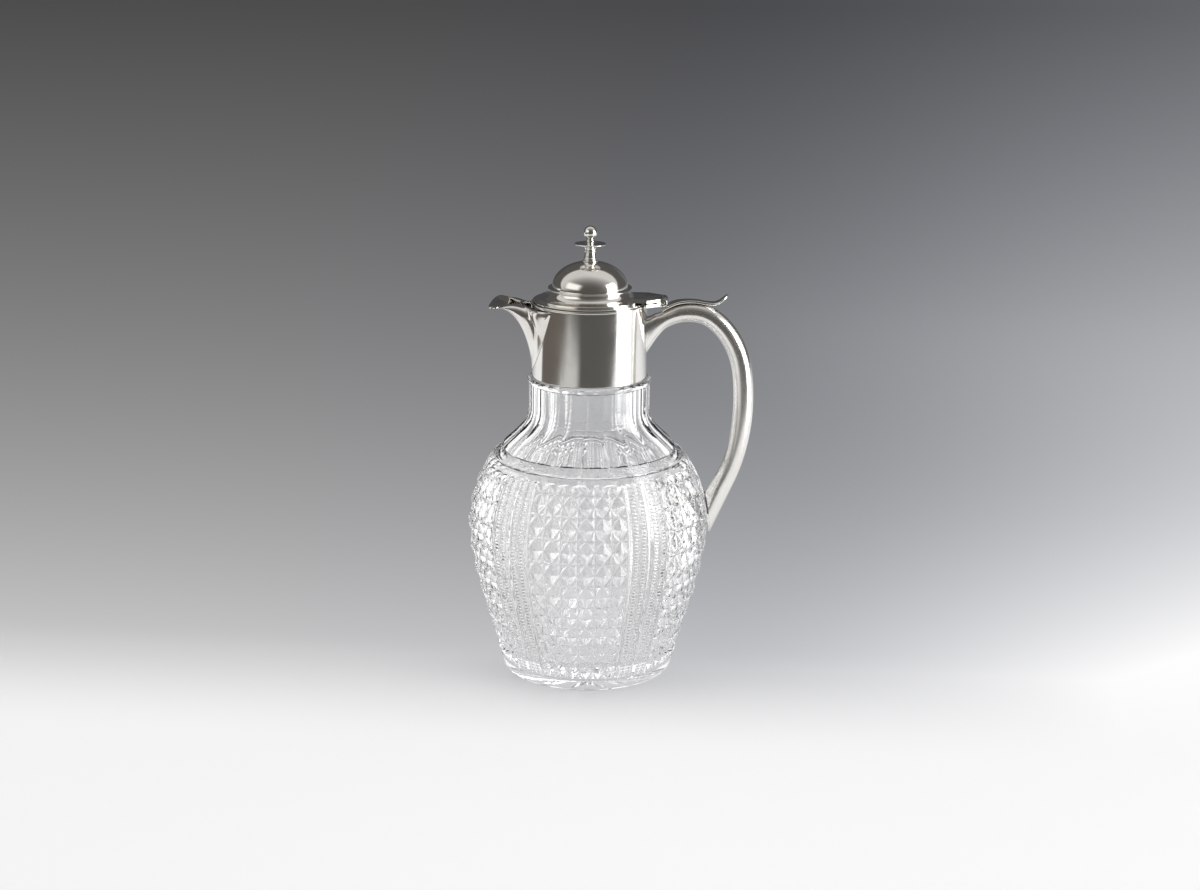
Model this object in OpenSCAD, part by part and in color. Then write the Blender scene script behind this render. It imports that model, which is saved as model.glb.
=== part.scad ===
// Claret jug of cut glass with a silver-plated mount, a hinged lid and a tube handle.
// Origin: centre of the foot, on the glass axis. +Z is up, the spout points to -X and the
// handle to +X. Lengths are millimetres.

/* [Glass body] */
// Radius of the flat foot
foot_r = 49.5; // [46:0.5:53]
// Widest radius of the body
body_r = 73; // [70:0.5:76]
// Height of the widest part
body_z = 92; // [86:1:98]
// Radius at the lower ring cut, where the shoulder starts
shoulder_r = 58.4; // [56:0.2:60]
// Height of the lower ring cut
shoulder_z = 133.2; // [128:0.2:137]
// Radius of the upper ring cut, where the flutes end
flute_end_r = 53; // [51:0.2:55]
// Distance from the lower ring cut up to the upper one
ring_pitch = 5; // [4:0.2:6]
// Depth of the two ring cuts
ring_cut = 1.2; // [0.6:0.1:2]
// Radius of the neck, measured to the flat of a flute
neck_r = 35.9; // [35:0.1:37]
// Height at which the neck becomes straight
neck_z = 163; // [159:1:167]
// Number of flat flutes round the neck (even)
flute_count = 20; // [12:2:28]
// Height of the ledge that carries the mount
ledge_z = 182; // [178:0.5:186]
// Thickness of the glass wall
glass_wall = 7; // [5:0.5:8]
// Thickness of the glass bottom
glass_bottom = 14; // [9:1:20]
// Radius of the bore of the neck
bore_r = 28.5; // [26:0.5:29.5]
// Length of the glass spigot inside the mount
spigot_h = 9.5; // [6:0.5:12]

/* [Cutting] */
// Number of panels of diamonds
panel_count = 5; // [4:1:6]
// Columns of diamonds in one panel
panel_columns = 6; // [4:1:8]
// Angle that one panel takes round the body
panel_angle = 49.5; // [44:0.5:54]
// Depth of the cuts between the diamonds
cut_depth = 2; // [1:0.1:2.4]
// Height of the lowest level cut
cut_low_z = 8.2; // [7.8:0.2:12]
// Distance of the highest level cut below the lower ring cut
cut_top_drop = 7; // [6:0.2:9]
// Depth of the valleys between the upright ridges
ridge_depth = 1.2; // [0.6:0.1:1.8]

/* [Neck mount] */
// Outer radius of the mount
mount_r = 34.3; // [33.5:0.1:35]
// Thickness of its sheet
mount_wall = 0.9; // [0.7:0.1:1.4]
// Height of the mount
mount_h = 43.9; // [42:0.1:47]
// Thickness of the plaster bed round the spigot
plaster_t = 0.8; // [0.5:0.1:1.2]
// Height of the wire on the mouth
wire_h = 1.2; // [0.8:0.1:1.8]
// How far the wire stands out of the mount
wire_proud = 0.5; // [0.2:0.1:0.8]

/* [Spout] */
// Distance of the spout's tip from the axis
spout_reach = 59.5; // [54:1:64]
// Half of the angle that the spout takes round the mount
spout_angle = 54; // [48:1:58]
// Height of the spout's root above the bottom of the mount
spout_root = 3; // [2:0.5:8]
// Height of the spout's rim at the mount, below the mount's top
spout_rim_drop = 1.2; // [0.8:0.1:3]
// How far the tip hangs below the rim at the mount
tip_drop = 1; // [0:0.2:6]
// Half width of the channel at its narrowest
channel_w = 4.6; // [4:0.2:8]
// Half width of the flared lip
lip_w = 18.4; // [12:0.2:20]
// Thickness of the spout's sheet
spout_wall = 1; // [0.8:0.1:1.5]

/* [Handle] */
// Radius of the handle tube
tube_r = 6; // [5:0.1:6.6]
// Thickness of the tube's wall
tube_wall = 1; // [0.8:0.1:1.5]
// Distance of the tube's centre from the axis at its outermost
handle_reach = 92.2; // [88:0.5:97]
// Height of the centre of the handle's crown
crown_z = 221; // [219.5:0.2:222.6]
// Height of the centre of the lower end against the glass
heel_z = 99.5; // [94:0.5:106]
// Half length of the lower end along the glass
heel_half = 12.5; // [10:0.5:14]
// Height of the flared root on the mount
root_h = 27; // [22:0.5:29]
// Thickness of the plate that closes the lower end
end_plate_t = 1; // [0.8:0.1:1.6]

/* [Hinge] */
// Distance of the hinge pin outside the mount
hinge_out = 9.5; // [8.5:0.1:10.5]
// Height of the pin above the mount's wire
hinge_up = 1.2; // [1:0.1:1.5]
// Outer radius of the knuckles
knuckle_r = 2.5; // [2.1:0.1:2.6]
// Radius of the pin
pin_r = 1; // [0.8:0.05:1.3]
// Half length of the hinge
hinge_half = 6.8; // [5.5:0.1:8]
// Half width of the fixed middle knuckle
middle_half = 3; // [2:0.1:3.6]
// Thickness of the strap on the handle's crown
strap_t = 2; // [1.4:0.1:2.4]
// Half width of the strap at the thumb rest
thumb_half = 5.4; // [4.2:0.2:7]
// Rise of the thumb rest above the strap's low point
thumb_rise = 5; // [2:0.2:7]

/* [Lid] */
// How far the edge of the lid's seat lies inside the mount's outside
seat_in = 0.3; // [0:0.1:0.6]
// Thickness of the seat plate
seat_t = 0.8; // [0.6:0.1:1.2]
// How far the lid's rim moulding lies inside the mount's outside
rim_in = 3.1; // [2.6:0.1:4]
// Height of the rim moulding
rim_h = 1.3; // [0.9:0.1:2]
// How far the top of the hollow moulding lies inside the mount's outside
hollow_in = 10.4; // [9.4:0.1:11.2]
// Height of the hollow moulding
hollow_h = 4.9; // [4:0.1:6]
// Thickness of the lid's sheet
lid_wall = 1; // [0.8:0.1:1.4]
// How far the ring under the dome lies inside the mount's outside
ring_in = 9.2; // [8:0.1:9.8]
// Thickness of that ring
ring_h = 1.5; // [1:0.1:2.2]
// How far the foot of the dome lies inside the mount's outside
dome_in = 11.7; // [11.3:0.1:12.8]
// Height of the dome above the ring
dome_h = 15.3; // [12:0.1:18]
// Clearance of the bezel inside the mouth
bezel_gap = 0.5; // [0.4:0.05:0.8]
// Depth of the bezel below the seat
bezel_h = 3.6; // [2:0.2:5]
// Half width of the tongue where it leaves the lid
tongue_half = 12.4; // [10:0.2:14]
// Height of the tongue
tongue_h = 4.8; // [4:0.1:5]

/* [Finial] */
// Radius of the finial's foot on the dome
finial_foot_r = 4.6; // [4:0.1:5.4]
// Height of the stem from the dome to the saucer's edge
stem_h = 10; // [8:0.2:13]
// Radius of the saucer
saucer_r = 9.4; // [7:0.1:11]
// Radius of the ball
ball_r = 4; // [3.2:0.1:5]
// Radius of the stud that holds the finial
stud_r = 1.5; // [1.2:0.1:1.8]
// Distance across the flats of the nut
nut_flats = 6; // [5:0.2:7]
// Thickness of the washer under the nut
washer_t = 0.8; // [0.5:0.1:1.2]

/* [Hidden] */

// Clearance between nested round pieces, between soldered faces and at rests
fit = 0.03;
solder_gap = 0.05;
rest_gap = 0.3;
round_fn = 96;

silver = [0.80, 0.79, 0.76];
glass_tint = [0.85, 0.92, 0.92, 0.5];
plaster_white = [0.87, 0.85, 0.80];
brass_yellow = [0.72, 0.58, 0.30];

// Places along the axis, from the foot up
upper_ring_z = shoulder_z + ring_pitch;
flute_end_z = upper_ring_z + 1;
mount_z = ledge_z + 0.1;
mount_top = mount_z + mount_h;
mouth_z = mount_top + fit + wire_h;
seat_z = mouth_z + rest_gap;
rim_z = seat_z + seat_t;
hollow_z = rim_z + rim_h;
ring_z = hollow_z + hollow_h + fit;
dome_z = ring_z + ring_h + fit;
dome_top = dome_z + dome_h;
saucer_z = dome_top + stem_h;
neck_collar_z = saucer_z + 1.6;
ball_z = neck_collar_z + 1.4 + ball_r;

// Radii that follow from the mount
mount_in = mount_r - mount_wall;
spigot_r = mount_in - plaster_t;
wire_in = mount_in - 0.3;
bezel_r = wire_in - bezel_gap;
ledge_r = mount_r + 2.8;
hinge_x = mount_r + hinge_out;
seat_r = mount_r - seat_in;
rim_r = mount_r - rim_in;
hollow_r = mount_r - hollow_in;
ring_r = mount_r - ring_in;
dome_r = mount_r - dome_in;

// Points of a Bezier curve from a to d, with the handles b and c, without its last point
function bezier(a, b, c, d, steps) = [for (i = [0:steps - 1]) let (t = i / steps, s = 1 - t)
    s * s * s * a + 3 * s * s * t * b + 3 * s * t * t * c + t * t * t * d];

// A Catmull-Rom curve through rows of numbers of any length, at the place u (0 to rows - 1)
function row(rows, i) = rows[max(0, min(len(rows) - 1, i))];
function spline(rows, u) = let (
    i = min(floor(u), len(rows) - 2), t = u - i,
    a = row(rows, i - 1), b = row(rows, i), c = row(rows, i + 1), d = row(rows, i + 2))
    0.5 * (2 * b + (c - a) * t + (2 * a - 5 * b + 4 * c - d) * t * t
           + (3 * b - a - 3 * c + d) * t * t * t);

function flat(v) = v / norm(v);

// ---- Glass body ----

// Outline of the body from the foot to the lower ring cut, then the neck, as [radius, height]
body_curve = concat(
    [[foot_r, 0], [foot_r + 1.6, 1.4]],
    bezier([foot_r + 2.3, 3.6], [foot_r + 9, 26], [body_r, body_z - 26], [body_r, body_z], 10),
    bezier([body_r, body_z], [body_r, body_z + 15], [shoulder_r + 8, shoulder_z - 9],
           [shoulder_r + 0.8, shoulder_z - ring_cut * 0.7], 8));
neck_curve = concat(
    bezier([flute_end_r - 0.6, flute_end_z], [neck_r + 11, flute_end_z + 7],
           [neck_r, flute_end_z + 12], [neck_r, neck_z], 8),
    [[neck_r, neck_z]]);

// Radius of the body at a height, for what lies against it
body_table = [for (p = concat(body_curve, neck_curve)) [p[1], p[0]]];
function body_radius(z) = lookup(z, body_table);

// Level cuts as shares of the way from the lowest to the highest, wider where the body is wider
level_shares = [0, 0.098, 0.206, 0.311, 0.426, 0.546, 0.667, 0.787, 0.899, 1];
cut_top_z = shoulder_z - cut_top_drop;
half_rows = 2 * (len(level_shares) - 1);
function level_z(share) = cut_low_z + share * (cut_top_z - cut_low_z);
function half_row_z(j) = let (i = floor(j / 2))
    j % 2 == 0 ? level_z(level_shares[i])
               : (level_z(level_shares[i]) + level_z(level_shares[i + 1])) / 2;

// Upright lines round one panel and the band beside it, as [angle, kind]; kind 0 and 1 are the
// even and odd half columns of the panel, 2 is a ridge's crest and 3 a valley
half_columns = 2 * panel_columns;
period = 360 / panel_count;
band_angle = period - panel_angle;
band_shares = [0.083, 0.175, 0.265, 0.355, 0.447, 0.553, 0.645, 0.735, 0.825, 0.917];
upright_lines = concat(
    [for (c = [0:half_columns]) [panel_angle * c / half_columns, c % 2]],
    [for (i = [0:len(band_shares) - 1])
        [panel_angle + band_angle * band_shares[i], i % 2 == 0 ? 3 : 2]]);
lines_in_period = len(upright_lines);
lines_round = panel_count * lines_in_period;

// How deep a line lies below the crests at a half row; the half row above the last is the
// zigzag, whose valleys are a little shallower than the cuts
function cut_at(kind, j) =
    kind == 2 ? 0.1 :
    kind == 3 ? ridge_depth :
    j > half_rows ? (kind == 1 ? 0 : 0.8 * cut_depth) :
    (kind == 1 && j % 2 == 1 ? 0 : cut_depth);

function on_body(angle, z, deep) = let (r = body_radius(z) - deep)
    [r * cos(angle), r * sin(angle), z];
function line_angle(k) = let (c = k % lines_in_period)
    -90 - panel_angle / 2 + floor(k / lines_in_period) * period + upright_lines[c][0];

// The zigzag's points above the highest level cut, and the plain glass below and above the cuts
zigzag_rise = 3.9;
plain_below = 1.2;
plain_above = 1.4;
// Where the apex of a small diamond lies in its cell, from its square corner, and how deep it
// lies as a share of the cuts' depth
apex_share = 0.3;
apex_depth = 0.58;

// The body up to the lower ring cut, with its cutting: rings of points from the foot up, then
// the apexes of the small quartered diamonds
zigzag_z = cut_top_z + zigzag_rise;
plain_rings = [[foot_r, 0], [foot_r + 1.6, 1.4],
               [body_radius(cut_low_z - plain_below), cut_low_z - plain_below]];
top_rings = [[body_radius(zigzag_z + plain_above), zigzag_z + plain_above],
             [shoulder_r + 0.8, shoulder_z - ring_cut * 0.7],
             [shoulder_r - ring_cut, shoulder_z]];
function plain_ring(p) = [for (k = [0:lines_round - 1])
    [p[0] * cos(line_angle(k)), p[0] * sin(line_angle(k)), p[1]]];
function cut_ring(z, j) = [for (k = [0:lines_round - 1])
    on_body(line_angle(k), z, cut_at(upright_lines[k % lines_in_period][1], j))];

module glass_cut_body() {
    rings = concat(
        [for (p = plain_rings) plain_ring(p)],
        [for (j = [0:half_rows]) cut_ring(half_row_z(j), j)],
        [cut_ring(zigzag_z, half_rows + 1)],
        [for (p = top_rings) plain_ring(p)]);
    first = len(plain_rings);
    n = lines_round;
    // The cells of the panels, as [line on the left, half row below]
    cells = [for (p = [0:panel_count - 1], c = [0:half_columns - 1], j = [0:half_rows - 1])
        [p * lines_in_period + c, j]];
    apexes = [for (q = cells) let (
        c = q[0] % lines_in_period,
        even_line = c % 2 == 0 ? q[0] : q[0] + 1,
        even_row = q[1] % 2 == 0 ? q[1] : q[1] + 1,
        odd_line = c % 2 == 0 ? q[0] + 1 : q[0],
        odd_row = q[1] % 2 == 0 ? q[1] + 1 : q[1],
        z = half_row_z(even_row)
            + apex_share * (half_row_z(odd_row) - half_row_z(even_row)),
        a = line_angle(even_line)
            + apex_share * (line_angle(odd_line) - line_angle(even_line)))
        on_body(a, z, apex_depth * cut_depth)];
    count = len(rings) * n;
    function at(k, j) = (first + j) * n + k;
    small = [for (i = [0:len(cells) - 1]) let (
        q = cells[i],
        left_even = (q[0] % lines_in_period) % 2 == 0,
        low_even = q[1] % 2 == 0,
        a = at(q[0], q[1]), b = at(q[0] + 1, q[1]),
        d = at(q[0], q[1] + 1), e = at(q[0] + 1, q[1] + 1),
        top = count + i)
        // The corner of the quartered diamond, its two neighbours in turn, and the opposite corner
        each (left_even && low_even ? [[a, b, top], [b, d, top], [d, a, top], [b, e, d]] :
              !left_even && low_even ? [[b, e, top], [e, a, top], [a, b, top], [a, e, d]] :
              left_even && !low_even ? [[d, a, top], [a, e, top], [e, d, top], [a, b, e]] :
                                       [[e, d, top], [d, b, top], [b, e, top], [a, b, d]])];
    function in_panel(k) = k % lines_in_period < half_columns;
    plain = [for (j = [0:len(rings) - 2], k = [0:n - 1])
        let (cell = j >= first && j < first + half_rows && in_panel(k),
             a = j * n + k, b = j * n + (k + 1) % n, d = a + n, e = b + n,
             turn = j == first + half_rows && in_panel(k) && (k % lines_in_period) % 2 == 0)
        if (!cell) each (turn ? [[a, b, e], [a, e, d]] : [[a, b, d], [b, e, d]])];
    last = (len(rings) - 1) * n;
    bottom = count + len(cells);
    discs = [for (k = [0:n - 1]) let (j = (k + 1) % n)
        each [[bottom, j, k], [bottom + 1, last + k, last + j]]];
    faces = concat(plain, small, discs);
    polyhedron(points = concat([for (r = rings) each r], apexes, [[0, 0, 0], [0, 0, shoulder_z]]),
               faces = [for (f = faces) [f[0], f[2], f[1]]], convexity = 8);
}

module glass_shoulder() {
    join_r = shoulder_r - ring_cut - 0.3;
    rotate_extrude($fn = round_fn)
        polygon([[0, zigzag_z], [join_r, zigzag_z], [join_r, shoulder_z + 0.2],
                 [shoulder_r - 0.9, shoulder_z + 1.1],
                 [shoulder_r - 1.7, shoulder_z + 2.4],
                 [flute_end_r + 1.4, upper_ring_z - 1.2],
                 [flute_end_r - ring_cut, upper_ring_z],
                 [flute_end_r - 0.6, flute_end_z],
                 [0, flute_end_z]]);
}

// The fluted neck: what a ring of flat-sided slabs with the neck's outline have in common
module fluted_neck() {
    side = concat([[flute_end_r - ring_cut - 0.9, upper_ring_z - 1]], neck_curve,
                  [[neck_r, ledge_z - 2]]);
    mirrored = [for (i = [len(side) - 1:-1:0]) [-side[i][0], side[i][1]]];
    intersection_for (k = [0:flute_count / 2 - 1])
        rotate((k + 0.5) * 360 / flute_count)
            rotate([90, 0, 0])
                linear_extrude(height = 3 * body_r, center = true)
                    polygon(concat(side, mirrored));
}

module glass_ledge() {
    translate([0, 0, ledge_z - 3.4])
        cylinder(h = 2.1, r1 = ledge_r - 0.6, r2 = ledge_r, $fn = round_fn);
    translate([0, 0, ledge_z - 1.3])
        cylinder(h = 1.3, r1 = ledge_r, r2 = mount_r + 0.9, $fn = round_fn);
}

module glass_cavity() {
    start = glass_bottom + 7;
    wall_in = [for (p = concat(body_curve, neck_curve)) if (p[1] > start + 2)
        [max(p[0] - glass_wall, bore_r), p[1]]];
    corner_r = body_radius(start) - glass_wall;
    rotate_extrude($fn = round_fn)
        polygon(concat(
            [[0, glass_bottom], [corner_r - 7, glass_bottom], [corner_r - 2.6, glass_bottom + 1.8],
             [corner_r - 0.6, glass_bottom + 4.2], [corner_r, start]],
            wall_in,
            [[bore_r, neck_z + 1], [bore_r, ledge_z + spigot_h + 1],
             [0, ledge_z + spigot_h + 1]]));
}

module glass_body() {
    color(glass_tint)
        difference() {
            union() {
                glass_cut_body();
                glass_shoulder();
                fluted_neck();
                glass_ledge();
                translate([0, 0, ledge_z - 1])
                    cylinder(h = spigot_h + 1, r = spigot_r, $fn = round_fn);
            }
            glass_cavity();
        }
}

// ---- Neck mount ----

// A ring of rectangular section
module ring(r_in, r_out, h) {
    difference() {
        cylinder(h = h, r = r_out, $fn = round_fn);
        translate([0, 0, -1])
            cylinder(h = h + 2, r = r_in, $fn = round_fn);
    }
}

module neck_plaster() {
    color(plaster_white)
        translate([0, 0, mount_z + fit])
            ring(spigot_r + fit, mount_in - fit, spigot_h - 0.4);
}

// The way from the mouth into the spout, as an outline across the mount
module pour_opening() {
    top = mount_top - spout_rim_drop - 1.5;
    low = mount_z + spigot_h + 6;
    top_half = mount_r * sin(spout_angle - 16);
    translate([-mount_r, 0, 0])
        rotate([90, 0, -90])
            linear_extrude(height = mount_r, center = true)
                polygon([[-3, low], [3, low], [6, low + 3], [top_half, top], [-top_half, top],
                         [-6, low + 3]]);
}

module neck_mount() {
    color(silver)
        difference() {
            translate([0, 0, mount_z])
                ring(mount_in, mount_r, mount_h);
            pour_opening();
        }
}

module mouth_wire() {
    bottom = mount_top + fit;
    outer = mount_r + wire_proud;
    edge = wire_h / 4;
    color(silver)
        rotate_extrude($fn = round_fn)
            polygon([[wire_in, bottom], [outer - edge, bottom], [outer, bottom + edge],
                     [outer, mouth_z - edge], [outer - edge, mouth_z], [wire_in, mouth_z]]);
}

// ---- Spout ----

spout_low = mount_z + spout_root;
spout_rim = mount_top - spout_rim_drop;
spout_cols = 36;
spout_rows = 14;
seam_r = mount_r + solder_gap;

// One side of the rim from the tip to the mount: [distance along the spout, half width, height]
rim_end = [seam_r * cos(spout_angle), seam_r * sin(spout_angle), spout_rim];
rim_rows = [
    [spout_reach, 0, spout_rim - tip_drop],
    [spout_reach - 0.2, lip_w / 2, spout_rim - tip_drop + 0.1],
    [spout_reach - 1.2, lip_w - 3.4, spout_rim - tip_drop + 0.5],
    [spout_reach - 3.2, lip_w - 0.4, spout_rim - tip_drop + 1.1],
    [spout_reach - 6, lip_w, spout_rim],
    [spout_reach - 8.6, lip_w - 2.9, spout_rim + 0.7],
    [spout_reach - 11, channel_w + 7.2, spout_rim + 1.3],
    [spout_reach - 13.4, channel_w + 3.6, spout_rim + 1.3],
    [spout_reach - 16.4, channel_w + 0.5, spout_rim + 0.8],
    [spout_reach - 19.2, channel_w, spout_rim + 0.3],
    [mount_r + 3, channel_w + 2.6, spout_rim],
    [mount_r - 0.6, channel_w + 8.6, spout_rim],
    [(mount_r + rim_end[0]) / 2 + 1, rim_end[1] - 5.6, spout_rim + 0.1],
    rim_end];

// Point of the outer skin: s runs across from -1 to 1 with the keel at 0, q from 0 at the
// seam on the mount to 90 at the rim
function spout_point(s, q) = let (
    side = sign(s), m = abs(s),
    rim = spline(rim_rows, m * (len(rim_rows) - 1)),
    angle = spout_angle * m,
    seam = [seam_r * cos(angle), seam_r * sin(angle),
            spout_low + (spout_rim - spout_low) * pow(m, 2.6)],
    out = 1 - pow(cos(q), 0.7 + 0.3 * m),
    wide = 1 - pow(cos(q), 0.45 + 0.55 * m),
    up = pow(sin(q), 4 / 3 - m / 3),
    x = seam[0] + (rim[0] - seam[0]) * out,
    y = seam[1] + (rim[1] - seam[1]) * wide,
    grow = max(1, (seam_r + spout_wall * min(1, q / 24)) / norm([x, y])))
    [-x * grow, -side * y * grow, seam[2] + (rim[2] - seam[2]) * up];

function spout_normal(s, q) = let (
    a = spout_point(min(s + 0.02, 0.97), q) - spout_point(max(s - 0.02, -0.97), q),
    b = spout_point(s, min(q + 3, 88)) - spout_point(s, max(q - 3, 2)))
    flat(cross(a, b));

// The inner skin stays on the mount at the seam, and at one level at the rim
function spout_inner(s, q) = let (
    p = spout_point(s, q),
    i = p + spout_wall * spout_normal(s, q),
    r = norm([i[0], i[1]]))
    r < seam_r ? [i[0] * seam_r / r, i[1] * seam_r / r, i[2]] : i;

function spout_row(r, inner) = [for (c = [0:spout_cols]) let (
    s = -0.97 + 1.94 * c / spout_cols, q = 6 + 84 * r / spout_rows)
    inner ? spout_inner(s, q) : spout_point(s, q)];

module spout() {
    wide = spout_cols + 1;
    outer = [for (r = [0:spout_rows]) each spout_row(r, false)];
    inner = [for (r = [0:spout_rows]) each spout_row(r, true)];
    n = len(outer);
    skins = [for (r = [0:spout_rows - 1], c = [0:spout_cols - 1]) let (
        a = r * wide + c, b = a + 1, d = a + wide, e = d + 1)
        each [[a, d, b], [b, d, e], [n + a, n + b, n + d], [n + b, n + e, n + d]]];
    ends = [for (r = [0:spout_rows - 1]) let (
        a = r * wide, b = a + wide, e = a + spout_cols, f = e + wide)
        each [[a, n + a, b], [b, n + a, n + b], [e, f, n + e], [f, n + f, n + e]]];
    edges = [for (c = [0:spout_cols - 1]) let (top = spout_rows * wide + c)
        each [[c, c + 1, n + c], [c + 1, n + c + 1, n + c],
              [top, n + top, top + 1], [top + 1, n + top, n + top + 1]]];
    color(silver)
        polyhedron(points = concat(outer, inner), faces = concat(skins, ends, edges),
                   convexity = 6);
}

// ---- Handle ----

tube_sides = 20;
root_z = mount_top - 1.5 - root_h / 2;

// Distance from the axis at a share of the way from the mount to the handle's outermost line,
// and height at a share of the way down from the crown to the lower end
function reach_at(share) = mount_r + share * (handle_reach - mount_r);
function drop_at(share) = crown_z - share * (crown_z - heel_z);

// Stations down the handle: [distance from the axis, height, half width, how much wider the
// top is than the bottom, half height, squareness (1 is round), lean of the section]
root_half = root_h / 2;
handle_rows = [
    [seam_r, root_z, 8.2, 0.6, root_half, 0.5, 0],
    [mount_r + 2.3, root_z + 2.2, 7.6, 0.5, root_half - 2.3, 0.6, 0.1],
    [mount_r + 5.1, root_z + 4.0, 7, 0.35, root_half - 4.3, 0.75, 0.25],
    [mount_r + 8.3, root_z + 5.4, tube_r + 0.6, 0.2, tube_r + 1.7, 0.9, 0.5],
    [reach_at(0.2228), drop_at(0.0255), tube_r + 0.3, 0.05, tube_r + 0.5, 1, 0.9],
    [reach_at(0.3316), drop_at(0.0074), tube_r + 0.1, 0, tube_r, 1, 1],
    [reach_at(0.4439), crown_z, tube_r, 0, tube_r, 1, 1],
    [reach_at(0.5509), drop_at(0.0058), tube_r, 0, tube_r, 1, 1],
    [reach_at(0.6718), drop_at(0.0255), tube_r, 0, tube_r, 1, 1],
    [reach_at(0.8014), drop_at(0.0798), tube_r, 0, tube_r, 1, 1],
    [reach_at(0.9085), drop_at(0.1605), tube_r, 0, tube_r, 1, 1],
    [reach_at(0.9741), drop_at(0.2551), tube_r, 0, tube_r, 1, 1],
    [reach_at(1.0017), drop_at(0.3786), tube_r, 0, tube_r, 1, 1],
    [reach_at(0.9948), drop_at(0.5185), tube_r, 0, tube_r, 1, 1],
    [reach_at(0.9516), drop_at(0.6584), tube_r, 0, tube_r - 0.2, 1, 1],
    [reach_at(0.8808), drop_at(0.7737), tube_r, 0, tube_r - 0.2, 1, 1],
    [body_radius(heel_z) + 7.3, heel_z + 15.5, tube_r, 0, tube_r + 0.2, 1, 1]];
rows_last = len(handle_rows) - 1;

function signed_pow(v, e) = sign(v) * pow(abs(v), e);

// A ring of the tube at the place u along the stations, grown by g (negative for the bore)
function handle_ring(u, g) = let (
    s = spline(handle_rows, u),
    t = flat(spline(handle_rows, min(u + 0.1, rows_last)) - spline(handle_rows, max(u - 0.1, 0))),
    along = flat([t[0], t[1]]),
    lean = max(0, min(1, s[6])),
    n = flat([-along[1] * lean, along[0] * lean + (1 - lean)]))
    [for (k = [0:tube_sides - 1]) let (
        a = 360 * k / tube_sides,
        up = signed_pow(sin(a), s[5]),
        out = (s[4] + g) * up,
        y = (s[2] * (1 + s[3] * up) + g) * signed_pow(cos(a), s[5]),
        x = s[0] + n[0] * out,
        z = s[1] + n[1] * out)
        [u == 0 ? sqrt(seam_r * seam_r - y * y) : x, y, z]];

// The lower end follows the glass, off it by the distance d
function heel_ring(d, g) = [for (k = [0:tube_sides - 1]) let (
    a = 360 * k / tube_sides,
    y = (tube_r + 0.3 + g) * cos(a),
    z = heel_z - (heel_half + g) * sin(a),
    r = body_radius(z) + d)
    [sqrt(r * r - y * y), y, z]];

heel_off = rest_gap + end_plate_t + solder_gap;
root_steps = [for (i = [0:7]) i / 2];
tube_steps = [for (i = [0:2 * (rows_last - 4)]) 4 + i / 2];

// The tube runs straight into its slanted lower end
function blend_rings(g) = let (
    a = handle_ring(rows_last, g), b = heel_ring(heel_off, g))
    [for (f = [0.35, 0.7]) [for (k = [0:tube_sides - 1]) a[k] + (b[k] - a[k]) * f]];

function handle_skin(g) = concat(
    [for (u = concat(root_steps, tube_steps)) handle_ring(u, g)],
    blend_rings(g), [heel_ring(heel_off, g)]);

// Two skins of rings joined at both ends make one closed hollow tube
module hollow_loft(outer, inner, sides) {
    rings = len(outer);
    n = rings * sides;
    skins = [for (r = [0:rings - 2], k = [0:sides - 1]) let (
        a = r * sides + k, b = r * sides + (k + 1) % sides, d = a + sides, e = b + sides)
        each [[a, d, b], [b, d, e], [n + a, n + b, n + d], [n + b, n + e, n + d]]];
    last = (rings - 1) * sides;
    ends = [for (k = [0:sides - 1]) let (j = (k + 1) % sides)
        each [[k, j, n + k], [j, n + j, n + k],
              [last + k, n + last + k, last + j], [last + j, n + last + k, n + last + j]]];
    polyhedron(points = concat([for (r = outer) each r], [for (r = inner) each r]),
               faces = concat(skins, ends), convexity = 8);
}

module handle() {
    color(silver)
        hollow_loft(handle_skin(0), handle_skin(-tube_wall), tube_sides);
}

// A curved plate between the handle and the glass
module handle_end_plate() {
    near = rest_gap;
    far = rest_gap + end_plate_t;
    shrinks = [0, -(tube_r - 3.5)];
    layers = [for (d = [near, far], g = shrinks) heel_ring(d, g)];
    mid_r = body_radius(heel_z);
    centres = [[mid_r + near, 0, heel_z], [mid_r + far, 0, heel_z]];
    points = concat([for (l = layers) each l], centres);
    s = tube_sides;
    faces = [for (k = [0:s - 1]) let (j = (k + 1) % s)
        each [[k, s + k, j], [j, s + k, s + j], [s + k, 4 * s, s + j],
              [2 * s + k, 2 * s + j, 3 * s + k], [2 * s + j, 3 * s + j, 3 * s + k],
              [3 * s + k, 3 * s + j, 4 * s + 1],
              [k, j, 2 * s + k], [j, 2 * s + j, 2 * s + k]]];
    color(silver)
        polyhedron(points = points, faces = faces, convexity = 4);
}

// ---- Hinge ----

hinge_z = mouth_z + hinge_up;
crown_top = crown_z + tube_r + 0.1;

module along_pin(y0, y1, r) {
    translate([hinge_x, y1, hinge_z])
        rotate([90, 0, 0])
            cylinder(h = y1 - y0, r = r, $fn = 48);
}

// Side outline of the strap: [distance from the axis, height of its lower face]. It follows
// the handle's crown and then turns up as the thumb rest.
strap_rows = [
    [hinge_x + 1.2, hinge_z - knuckle_r + 0.5],
    [reach_at(0.2591), crown_top - 1.4],
    [reach_at(0.3454), crown_top - 0.3],
    [reach_at(0.4439), crown_top + 0.1],
    [reach_at(0.5509), crown_top - 0.5],
    [reach_at(0.6373), crown_top - 1.7],
    [reach_at(0.696), crown_top - 1.6],
    [reach_at(0.7547), crown_top + thumb_rise - 4],
    [reach_at(0.8169), crown_top + thumb_rise - 1.6]];
strap_end = len(strap_rows) - 1;

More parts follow.
